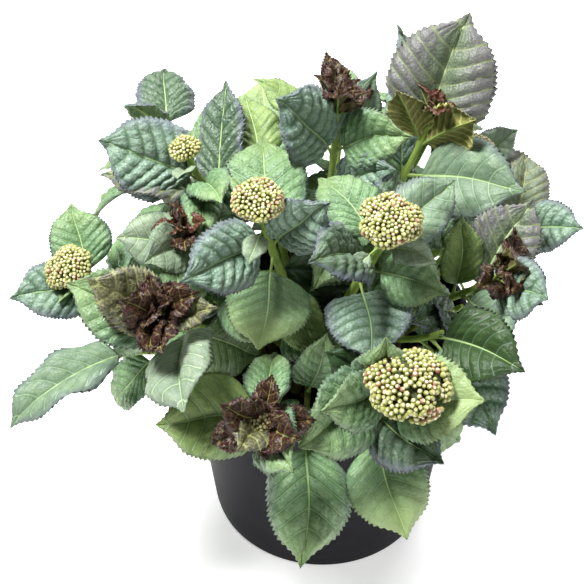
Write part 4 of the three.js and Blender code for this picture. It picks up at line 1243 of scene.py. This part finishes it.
class PlantColours(bpy.types.PropertyGroup):
    green: colour("Green", "Grown leaves", (0.180, 0.300, 0.145))
    blue: colour("Blue green", "Leaves with a blue bloom", (0.245, 0.345, 0.262))
    light: colour("Light green", "Younger leaves", (0.205, 0.330, 0.165))
    glow: colour("Glow", "Ends of younger leaves", (0.310, 0.405, 0.160))
    pale: colour("Pale green", "The palest leaves", (0.250, 0.320, 0.215))
    dark: colour("Dark green", "Leaves with a plum tinge", (0.120, 0.180, 0.110))
    # Painted shade: a near-black copy of green for the leaves inside the plant.
    deep: colour("Deep green", "Shaded leaves inside", (0.025, 0.060, 0.018))
    forest: colour("Forest green", "Dark glossy grown leaves", (0.030, 0.066, 0.016))
    maroon: colour("Maroon", "Young leaves", (0.030, 0.008, 0.006))
    ruby: colour("Ruby", "The youngest, reddest leaves", (0.080, 0.014, 0.009))
    wine: colour("Wine", "Margins of young leaves", (0.040, 0.015, 0.016))
    plum: colour("Plum grey", "Half-grown leaves at a tip", (0.086, 0.086, 0.036))
    net: colour("Netted", "Half-grown leaves under a pale net", (0.098, 0.138, 0.078))
    sun: colour("Sunny green", "Young yellow green leaves", (0.240, 0.335, 0.105))
    mist: colour("Misty green", "Pale blue green leaves", (0.200, 0.285, 0.180))
    # Painted shade: a darker copy of green for grown leaves that sit in shade.
    moss: colour("Moss green", "Grown leaves in the shade", (0.092, 0.146, 0.052))
    dusk: colour("Dusk", "Green leaves with a wine tinge", (0.135, 0.175, 0.108))
    margin: colour("Margin", "Margins of dark and blue leaves", (0.125, 0.145, 0.175))
    dusky: colour("Dusky margin", "Margins of half-grown leaves", (0.128, 0.118, 0.136))
    lower: colour("Lower face", "Underside of green leaves", (0.240, 0.340, 0.170))
    lower_plum: colour("Lower plum", "Underside of young leaves", (0.120, 0.100, 0.035))
    lower_olive: colour("Lower olive", "Underside of half-grown leaves", (0.225, 0.220, 0.058))
    vein_olive: colour("Olive vein", "Veins under half-grown leaves", (0.520, 0.540, 0.190))
    vein: colour("Vein", "Side veins of green leaves", (0.220, 0.345, 0.165))
    vein_blue: colour("Blue vein", "Side veins of blue leaves", (0.095, 0.150, 0.100))
    vein_light: colour("Light vein", "Side veins of light leaves", (0.290, 0.400, 0.190))
    vein_pale: colour("Pale vein", "Side veins of pale leaves", (0.380, 0.470, 0.300))
    vein_dark: colour("Dark vein", "Side veins of dark leaves", (0.045, 0.080, 0.045))
    vein_maroon: colour("Maroon vein", "Side veins of young leaves", (0.160, 0.125, 0.045))
    vein_plum: colour("Plum vein", "Side veins of half-grown leaves", (0.260, 0.270, 0.110))
    vein_net: colour("Net vein", "Side veins of netted leaves", (0.185, 0.225, 0.110))
    vein_mist: colour("Misty vein", "Side veins of misty leaves", (0.250, 0.350, 0.230))
    rib: colour("Midrib", "Midrib of green leaves", (0.330, 0.450, 0.200))
    rib_light: colour("Light midrib", "Midrib of light leaves", (0.430, 0.560, 0.270))
    rib_olive: colour("Olive midrib", "Midrib of young leaves", (0.300, 0.290, 0.080))
    stem: colour("Stem", "Green stems", (0.260, 0.380, 0.070))
    wood: colour("Wood", "Canes near the compost", (0.160, 0.120, 0.060))
    bud: colour("Bud", "Sides of the buds", (0.400, 0.400, 0.130))
    bud_tip: colour("Bud tip", "Ends of the buds", (0.700, 0.640, 0.460))
    blush: colour("Blush", "Reddish buds", (0.420, 0.230, 0.130))


class HYDRANGEA_OT_pot(bpy.types.Operator):
    """Turn the plastic pot"""
    bl_idname = "hydrangea.pot"
    bl_label = "Pot"

    def execute(self, context):
        s = context.scene.hydrangea_pot
        foot, mouth, high, wall = (v * 1000 for v in (s.foot, s.mouth, s.high, s.wall))

        def at(z):
            return foot + (mouth - foot) * z / high

        profile = [(0, 4.0), (foot - 22, 4.0), (foot - 19, 0.6), (foot - 18, 0.0), (foot - 6, 0.0)]
        round_off = np.linspace(0.1, math.pi / 2, 8)
        profile += [(foot - 4 + 4 * math.sin(a), 4 - 4 * math.cos(a)) for a in round_off]
        band = high - POT["band"]
        profile += [(at(z), z) for z in np.linspace(8, band - 1, 14)]
        lip = POT["lip"]
        profile += [(at(band) + 0.3, band), (at(band) + lip - 0.6, band + 0.8), (at(band) + lip, band + 2)]
        profile += [(mouth + lip, high - 2.2), (mouth + lip - 0.5, high - 0.8), (mouth + lip - 1.6, high)]
        profile += [(mouth - wall + 0.8, high), (mouth - wall, high - 0.9)]
        profile += [(at(SOIL_TOP) - wall, SOIL_TOP - 6)]
        profile += [(at(8) - wall, 7), (at(7) - wall - 2, 6.4), (0, 6.4)]
        points, faces = lathe(profile, 144)
        plastic = paint("black_plastic", tuple(0.8 * c for c in s.colour), tuple(1.35 * c for c in s.colour),
                        0.52, 26, 700, 0.10, 0.0002, 0.0, 0.06)
        piece = mesh_piece("nursery_pot", points, faces, [plastic])
        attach(piece, BODY)
        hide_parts("pot")
        return {"FINISHED"}


class HYDRANGEA_OT_compost(bpy.types.Operator):
    """Fill the pot with rough compost"""
    bl_idname = "hydrangea.compost"
    bl_label = "Compost"

    def execute(self, context):
        s = context.scene.hydrangea_pot

        def within(z):
            return (s.foot + (s.mouth - s.foot) * z * MM / s.high - s.wall) * 1000 - 0.6

        wide = within(SOIL_TOP - 3)
        profile = [(0, 8), (within(8) - 4, 8), (within(12), 12), (within(SOIL_TOP - 7), SOIL_TOP - 7)]
        profile += [(wide, SOIL_TOP - 3)]
        profile += [(wide * r, SOIL_TOP) for r in np.linspace(0.97, 0.03, 34)] + [(0, SOIL_TOP)]
        points, faces = lathe(profile, 128)
        points = np.array(points, float)
        top = points[:, 2] > SOIL_TOP - 1
        x, y = points[:, 0], points[:, 1]
        bumps = (np.sin(x * 0.31 + 1) * np.cos(y * 0.27) + np.sin(x * 0.11 - y * 0.17) * 1.4
                 + 0.6 * np.sin(x * 0.83 + y * 0.57) + 0.5 * np.cos(x * 0.6 - y * 0.9))
        points[top, 2] += 0.9 * bumps[top] - 0.6
        brown = tuple(s.soil)
        earth = paint("damp_compost", tuple(0.6 * c for c in brown), tuple(1.6 * c for c in brown),
                      0.85, 90, 500, 0.8, 0.0012, 0.0, 0.2)
        bark = paint("bark_chips", tuple(1.2 * c for c in brown), tuple(3.2 * c for c in brown),
                     0.8, 160, 900, 0.6, 0.0006, 0.0, 0.2)
        base = mesh_piece("compost_bed", points, faces, [earth])
        ring = [(r * wide, SOIL_TOP + 0.4) for r in np.linspace(0.97, 0.02, 10)] + [(0, SOIL_TOP + 0.4)]
        spots, cells = lathe(ring, 32)
        ground = mesh_piece("crumb_ground", spots, cells, [])
        forms = []
        for title, size, material in (("crumb", (2.2, 1.7, 1.3), earth), ("chip", (4.4, 2.2, 0.9), bark)):
            corners = [(i * size[0] * (1 + 0.25 * j), j * size[1], k * size[2] * (1 - 0.2 * i))
                       for i in (-1, 1) for j in (-1, 1) for k in (-1, 1)]
            quads = [(0, 1, 3, 2), (4, 6, 7, 5), (0, 4, 5, 1), (2, 3, 7, 6), (0, 2, 6, 4), (1, 5, 7, 3)]
            forms.append(mesh_piece(title, corners, quads, [material], smooth=False))
        crumbs = grown(ground, scatter_tree("compost_crumbs", False), {
            "Form": forms[0], "Other form": forms[1], "Other share": 0.3, "Density": s.crumbs,
            "Least": 0.5, "Most": 1.2, "Tilt": 1.4, "Seed": 5,
        }, "compost_crumbs")
        for form in forms:
            bpy.data.objects.remove(form)
        for piece in (base, crumbs):
            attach(piece, BODY)
        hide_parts("compost")
        return {"FINISHED"}


# Joints of a cane swell it by a share, over this length; its foot swells too.
JOINT_SWELL, JOINT_LONG, FOOT_SWELL, FOOT_LONG = 0.16, 3.2, 0.3, 7
# Rays under a head: seed, how many at least, how many more stand in its middle, radius at root and tip.
RAY_SEED, LEAST_RAYS, INNER_RAYS, RAY_THICK, RAY_THIN = 300, 6, 3, 1.6, 0.9


def stem_paths(shoot):
    """The cane from the compost to its tip, and the rays under a head of buds."""
    long = shoot["long"]
    drops = np.concatenate([[0], np.arange(1.5, long - 1, 3.5), [long - GAP]])[::-1]
    nodes = sorted({round(leaf["drop"], 1) for leaf in shoot["leaves"]})
    points, radii = [], []
    for drop in drops:
        point, _ = along(shoot["points"], drop)
        r = radius_at(shoot, drop)
        for node in nodes:
            r *= 1 + JOINT_SWELL * math.exp(-(((drop - node) / JOINT_LONG) ** 2))
        above = long - drop
        r *= 1 + FOOT_SWELL * math.exp(-above / FOOT_LONG)
        if drop < 3 and not shoot["size"]:
            r *= 0.75 + 0.08 * drop
        points.append(point)
        radii.append(r)
    paths = [(points, radii)]
    if shoot["kind"] == "buds":
        a, b = across(shoot["aim"])
        size, dice = shoot["size"], Dice(RAY_SEED + shoot["n"])
        rays = LEAST_RAYS + int(size / 8)
        for k in range(rays + INNER_RAYS):
            turn = 2 * math.pi * k / rays + dice.roll(-0.2, 0.2)
            reach = (0.82 if k < rays else 0.4) * size * dice.roll(0.9, 1.05)
            out = a * math.cos(turn) + b * math.sin(turn)
            start = shoot["tip"] - shoot["aim"] * (0.10 * size + 2)
            end = shoot["tip"] + out * reach + shoot["aim"] * size * (0.16 if k < rays else 0.5)
            bow = (start + end) / 2 + out * 0.12 * size - shoot["aim"] * 0.06 * size
            t = np.linspace(0, 1, 7)[:, None]
            ray = (1 - t) ** 2 * start + 2 * (1 - t) * t * bow + t**2 * end
            paths.append((list(ray), list(np.linspace(RAY_THICK, RAY_THIN, 7) * (0.7 + size / 90))))
    return paths


# Radius of a full leaf's stalk at the cane, what it loses on its way, and where it has lost it.
STALK_THICK, STALK_THINS, STALK_THIN_BY = 2.5, 1.1, 1.6
# The midrib under the blade: what it loses towards the tip and what is left of it there.
RIB_THINS, RIB_LEAST = 1.35, 0.28


def stalk_path(leaf):
    """A leaf's stalk, and the raised midrib that runs on under its blade."""
    spine = leaf["spine"]
    at, normal = spine["at"], spine["normal"]
    scale = (leaf["long"] / FULL_LEAF) ** 0.5
    points, radii = [], []
    for i in range(0, FINE_STALK + 1, 2):
        share = i / FINE_STALK
        r = (STALK_THICK - STALK_THINS * min(1, share * STALK_THIN_BY)) * scale
        points.append(at[i] - normal[i] * (r * 0.4 * share))
        radii.append(r)
    for u in np.linspace(0.06, 0.9, 9):
        i = FINE_STALK + int(round(u * FINE_BLADE))
        r = (RIB_THINS * (1 - u) + RIB_LEAST) * scale
        points.append(at[i] - normal[i] * (r * 0.8 + 0.1))
        radii.append(r)
    return points, radii


class HYDRANGEA_OT_leaves(bpy.types.Operator):
    """Grow every leaf, quilted between its veins and toothed at its margin"""
    bl_idname = "hydrangea.leaves"
    bl_label = "Leaves"

    def execute(self, context):
        sizes, colours = context.scene.hydrangea_leaf, context.scene.hydrangea_colours
        finishes = leaf_materials(colours)
        names = list(finishes)
        groups = [[]]
        load = 0
        for shoot in plant():
            dice = Dice(SHAPE_SEED + SEED_STEP * shoot["n"])
            shoot["blades"] = []
            for leaf in shoot["leaves"] + tuft_leaves(shoot):
                body, cells, kinds, leaf["spine"], marks = blade_points(leaf, sizes, dice)
                shoot["blades"].append((leaf, body, cells, kinds, marks))
            size = sum(len(blade[2]) for blade in shoot["blades"])
            if load + size > PIECE_LIMIT:
                groups.append([])
                load = 0
            groups[-1].append(shoot)
            load += size
        for n, group in enumerate(groups, 1):
            points, faces, indices, marked, start = [], [], [], [], 0
            for shoot in group:
                for leaf, body, cells, kinds, marks in shoot["blades"]:
                    blade, vein, rib, lower = PAINTS[leaf["tone"]]
                    pairs = {"rib": (rib, rib), "vein": (vein, vein), "blade": (blade, lower)}
                    lookup = {
                        (kind, under): names.index(pair[under])
                        for kind, pair in pairs.items() for under in (False, True)
                    }
                    points.append(body)
                    faces.append(cells + start)
                    marked.append(marks)
                    indices += [lookup[kind] for kind in kinds]
                    start += len(body)
            if not points:
                raise RuntimeError("a group of shoots has no leaves")
            piece = big_mesh(f"leaves_{n}", np.concatenate(points), np.concatenate(faces), finishes.values(),
                             indices, np.concatenate(marked))
            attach(piece, BODY)
            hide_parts(*(f"foliage_{shoot['name']}" for shoot in group))
        return {"FINISHED"}


class HYDRANGEA_OT_stems(bpy.types.Operator):
    """Draw the canes with their joints, the rays under the heads and the leaf stalks"""
    bl_idname = "hydrangea.stems"
    bl_label = "Stems and stalks"

    def execute(self, context):
        colours = context.scene.hydrangea_colours
        bark = cane_finish(tuple(colours.stem), tuple(colours.wood))
        green = paint("leaf_stalk", shaded(colours.stem, (0.8, 0.8, 1.0)),
                      shaded(colours.stem, (1.1, 1.05, 1.5)), 0.45, 90, 900, 0.2, 0.0002)
        tree = tube_tree()
        canes = [path for shoot in plant() for path in stem_paths(shoot)]
        stalks = [stalk_path(leaf) for shoot in plant() for leaf, *_ in shoot["blades"]]
        for title, paths, sides, relief, finish in (
            ("canes", canes, 12, 0.0009, bark), ("leaf_stalks", stalks, 8, 0.0002, green),
        ):
            piece = grown(path_curve(title + "_paths", paths), tree, {
                "Sides": sides, "Relief": relief, "Grain": 260.0, "Finish": finish,
            }, title)
            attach(piece, BODY)
            if title == "canes":
                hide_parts(*(f"cane_{shoot['name']}" for shoot in plant()))
        return {"FINISHED"}


# Heights above the compost over which a cane turns from brown wood to green.
WOOD_TO, GREEN_FROM = 16, 66


def cane_finish(green, wood):
    """Green stems that turn to brown wood near the compost, with small raised pores."""
    material = paint("cane_bark", tuple(0.8 * c for c in green), green, 0.5, 140, 1000, 0.35, 0.0004)
    tree = material.node_tree
    shader = tree.nodes["Principled BSDF"]
    ramp = next(n for n in tree.nodes if n.bl_idname == "ShaderNodeValToRGB")
    place = next(n for n in tree.nodes if n.bl_idname == "ShaderNodeTexCoord")
    split = tree.nodes.new("ShaderNodeSeparateXYZ")
    link(tree, place, "Object", split, "Vector")
    height = tree.nodes.new("ShaderNodeMapRange")
    height.inputs["From Min"].default_value = (SOIL_TOP + WOOD_TO) * MM
    height.inputs["From Max"].default_value = (SOIL_TOP + GREEN_FROM) * MM
    link(tree, split, "Z", height, "Value")
    mix = tree.nodes.new("ShaderNodeMix")
    mix.data_type = "RGBA"
    link(tree, height, "Result", mix, "Factor")
    mix.inputs[MIX_FIRST].default_value = (*wood, 1)
    link(tree, ramp, "Color", mix, MIX_SECOND)
    link(tree, mix, MIX_RESULT, shader, "Base Color")
    return material


# Outline of a bud, as radius and height: the last rings are its cream end.
BUD = [
    (0, -1.1), (0.4, -1.0), (0.84, -0.55), (1.0, 0.05), (0.86, 0.52), (0.58, 0.84), (0.28, 0.86), (0, 0.74),
]
BUD_SIDES, GREEN_RINGS = 6, 5
# Radius of the small head inside a tuft, by cane, and the radius from which a head counts as big.
TUFT_HEADS, BIG_HEAD = {"l": 13}, 30
# Share of blushed buds, room between buds and their least and greatest size, in shares of a bud.
BLUSHED, BUD_ROOM, LEAST_BUD, MOST_BUD = 0.12, 1.42, 0.72, 1.12
BUD_TILT, BUD_SEED = 0.3, 11


class HYDRANGEA_OT_heads(bpy.types.Operator):
    """Cover each head with buds over its lumpy middle"""
    bl_idname = "hydrangea.heads"
    bl_label = "Heads of buds"

    def execute(self, context):
        colours = context.scene.hydrangea_colours
        side, tip, blush = (
            paint(name, shaded(tint, less), tuple(tint), 0.5, 300, 1500, 0.2) for name, tint, less in (
                ("bud_side", colours.bud, (0.7, 0.75, 0.6)), ("bud_tip", colours.bud_tip, (0.85, 0.85, 0.7)),
                ("bud_blush", colours.blush, (0.8, 0.7, 0.7))))
        # Painted shade: the middle of a head stands for the stalks inside it, painted near-black for the shade
        # among them.
        core = paint("head_core", (0.035, 0.045, 0.012), (0.09, 0.10, 0.03), 0.7, 220, 700, 0.7, 0.001)
        forms = []
        green = BUD_SIDES * GREEN_RINGS
        for title, body in (("bud", side), ("blush_bud", blush)):
            points, faces = lathe(BUD, BUD_SIDES)
            indices = [0] * green + [1] * (len(faces) - green)
            forms.append(mesh_piece(title, points, faces, [body, tip], indices))
        tree = scatter_tree("buds_on_head", True)
        pieces = []
        for shoot in plant():
            size = shoot["size"] if shoot["kind"] == "buds" else TUFT_HEADS.get(shoot["name"])
            if not size:
                continue
            bud = 2.6 if size > BIG_HEAD else 1.6 + size * 0.02
            dome, inner = head_forms(shoot, size, bud, core)
            for form in forms:
                form.scale = (bud, bud, bud)
            bpy.context.view_layer.update()
            pieces.append(grown(dome, tree, {
                "Form": forms[0], "Other form": forms[1], "Other share": BLUSHED,
                "Spacing": bud * BUD_ROOM * MM, "Density": 900000.0, "Least": bud * LEAST_BUD,
                "Most": bud * MOST_BUD, "Tilt": BUD_TILT, "Seed": BUD_SEED + shoot["n"],
            }, f"buds_{shoot['name']}"))
            pieces.append(inner)
        for form in forms:
            bpy.data.objects.remove(form)
        for piece in pieces:
            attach(piece, BODY)
        return {"FINISHED"}


# How far round the dome and the lobes reach, in radians, and the turn from one lobe to the next.
DOME_REACH, LOBES_REACH, LOBE_TURN = 2.05, 1.8, 2.39996
LOBE_SEED = 40


def head_forms(shoot, size, bud, core):
    """The dome that carries the buds, parted into lobes with gaps, and the middle under it, which stands for the
    stalks inside the head and is painted near-black as their shade.
    """
    a, b = across(shoot["aim"])
    count = int(6 + size * size / 85)
    low = 1 - math.cos(LOBES_REACH)
    lobes = []
    dice = Dice(LOBE_SEED + shoot["n"])
    for k in range(count):
        tilt = math.acos(1 - low * (k + 0.5) / count) + dice.roll(-0.08, 0.08)
        turn = LOBE_TURN * k + dice.roll(-0.25, 0.25)
        lobes.append((math.sin(tilt) * math.cos(turn), math.sin(tilt) * math.sin(turn), math.cos(tilt)))
    lobes = np.array(lobes)
    spacing = math.sqrt(2 * math.pi * low / count)
    swell = np.array([dice.roll(0.94, 1.05) for _ in range(count)])
    made = []
    for title, shrink, material in (("dome", 1 - bud * 0.9 / size, []), ("middle", 0.8, [core])):
        profile = [(math.sin(t), math.cos(t)) for t in np.linspace(0, DOME_REACH, 26)]
        profile = [(0 if i == 0 else r, z) for i, (r, z) in enumerate(profile)]
        if title == "middle":
            profile += [(0.5, -0.5), (0, -0.5)]
        points, faces = lathe(profile[::-1], 56)
        points = np.array(points)
        apart = np.linalg.norm(points[:, None] - lobes[None], axis=2)
        near = apart.argmin(1)
        far = apart.min(1) / spacing
        if title == "dome":
            most = 0.6 if size > BIG_HEAD else 0.72
            faces = [f for f in faces if max(far[i] for i in f) < most]
        grow = size * shrink * swell[near] * (1.03 - 0.34 * np.clip(far, 0, 0.7) ** 2)
        spots = [shoot["tip"] + a * x * g + b * y * g + shoot["aim"] * (z * g * HEAD_HIGH + size * HEAD_UP)
                 for (x, y, z), g in zip(points, grow)]
        made.append(mesh_piece(f"head_{title}_{shoot['name']}", spots, faces, material))
    return made


# The stage. Half the floor's side in mm, what it gives back and how much it glows, and light from all sides.
FLOOR_HALF, FLOOR_PALE, FLOOR_GLOW, ALL_ROUND = 60000, 0.93, 0.5, 0.10
# Each lamp: place and width in metres, and its power. All of them face the same spot in the plant.
LAMPS = (
    ("key", (-0.9, -0.1, 2.3), 0.6, 107),
    ("fill", (1.6, -1.4, 1.6), 1.6, 17),
    ("back", (0.7, 1.5, 1.9), 1.0, 40),
)
LIT_SPOT = (0, 0, 0.3)
# The camera: its place in metres, its turn and dip in degrees, the sensor and the length of the lens in mm.
EYE, YAW, DIP = (0, -1.028, 1.226), -1.7048, 42.856
SENSOR, LENS = 36, 36 * 1505 / 584


class HYDRANGEA_OT_stage(bpy.types.Operator):
    """Set the floor, the lights and the camera"""
    bl_idname = "hydrangea.stage"
    bl_label = "Stage"

    def execute(self, context):
        scene = context.scene
        corners = [(x * FLOOR_HALF, y * FLOOR_HALF, 0) for x, y in ((-1, -1), (1, -1), (1, 1), (-1, 1))]
        floor = mesh_piece("floor", corners, [(0, 1, 2, 3)], [])
        pale = bpy.data.materials.new("floor_pale")
        pale.use_nodes = True
        for name, value in (
            ("Base Color", (FLOOR_PALE,) * 3 + (1,)), ("Roughness", 0.9), ("Emission Color", (1, 1, 1, 1)),
            ("Emission Strength", FLOOR_GLOW),
        ):
            pale.node_tree.nodes["Principled BSDF"].inputs[name].default_value = value
        floor.data.materials.append(pale)
        floor.location.z = -0.0005

        world = bpy.data.worlds.new("studio")
        world.use_nodes = True
        world.node_tree.nodes["Background"].inputs["Color"].default_value = (1, 1, 1, 1)
        world.node_tree.nodes["Background"].inputs["Strength"].default_value = ALL_ROUND
        scene.world = world
        for title, place, size, power in LAMPS:
            light = bpy.data.lights.new(title, "AREA")
            light.size, light.energy = size, power
            lamp = bpy.data.objects.new(title, light)
            lamp.location = place
            lamp.rotation_euler = (Vector(LIT_SPOT) - Vector(place)).to_track_quat("-Z", "Y").to_euler()
            scene.collection.objects.link(lamp)

        yaw, dip = math.radians(YAW), math.radians(DIP)
        ahead = Vector((math.sin(yaw) * math.cos(dip), math.cos(yaw) * math.cos(dip), -math.sin(dip)))
        lens = bpy.data.cameras.new("camera")
        lens.sensor_width, lens.lens = SENSOR, LENS
        camera = bpy.data.objects.new("camera", lens)
        camera.location = EYE
        camera.rotation_euler = ahead.to_track_quat("-Z", "Y").to_euler()
        scene.collection.objects.link(camera)
        scene.camera = camera
        scene.view_settings.view_transform = "Standard"
        return {"FINISHED"}


class HYDRANGEA_PT_panel(bpy.types.Panel):
    """The steps that grow the plant"""
    bl_idname = "HYDRANGEA_PT_panel"
    bl_label = "Potted hydrangea"
    bl_space_type = "VIEW_3D"
    bl_region_type = "UI"
    bl_category = "Hydrangea"

    def draw(self, context):
        for step in STEPS:
            self.layout.operator(step)
        for key in GROUPS:
            group = getattr(context.scene, key)
            box = self.layout.box()
            for value in group.__annotations__:
                box.prop(group, value)


STEPS = ("hydrangea.pot", "hydrangea.compost", "hydrangea.leaves", "hydrangea.stems", "hydrangea.heads",
         "hydrangea.stage")
CLASSES = (
    PotSizes, LeafSizes, PlantColours, HYDRANGEA_OT_pot, HYDRANGEA_OT_compost, HYDRANGEA_OT_leaves,
    HYDRANGEA_OT_stems, HYDRANGEA_OT_heads, HYDRANGEA_OT_stage, HYDRANGEA_PT_panel,
)
GROUPS = {"hydrangea_pot": PotSizes, "hydrangea_leaf": LeafSizes, "hydrangea_colours": PlantColours}


def register():
    for item in CLASSES:
        bpy.utils.register_class(item)
    for key, group in GROUPS.items():
        setattr(bpy.types.Scene, key, PointerProperty(type=group))


def unregister():
    for key in GROUPS:
        delattr(bpy.types.Scene, key)
    for item in reversed(CLASSES):
        bpy.utils.unregister_class(item)


def main():
    register()
    for step in STEPS:
        group, name = step.split(".")
        getattr(getattr(bpy.ops, group), name)()


if __name__ == "__main__":
    main()
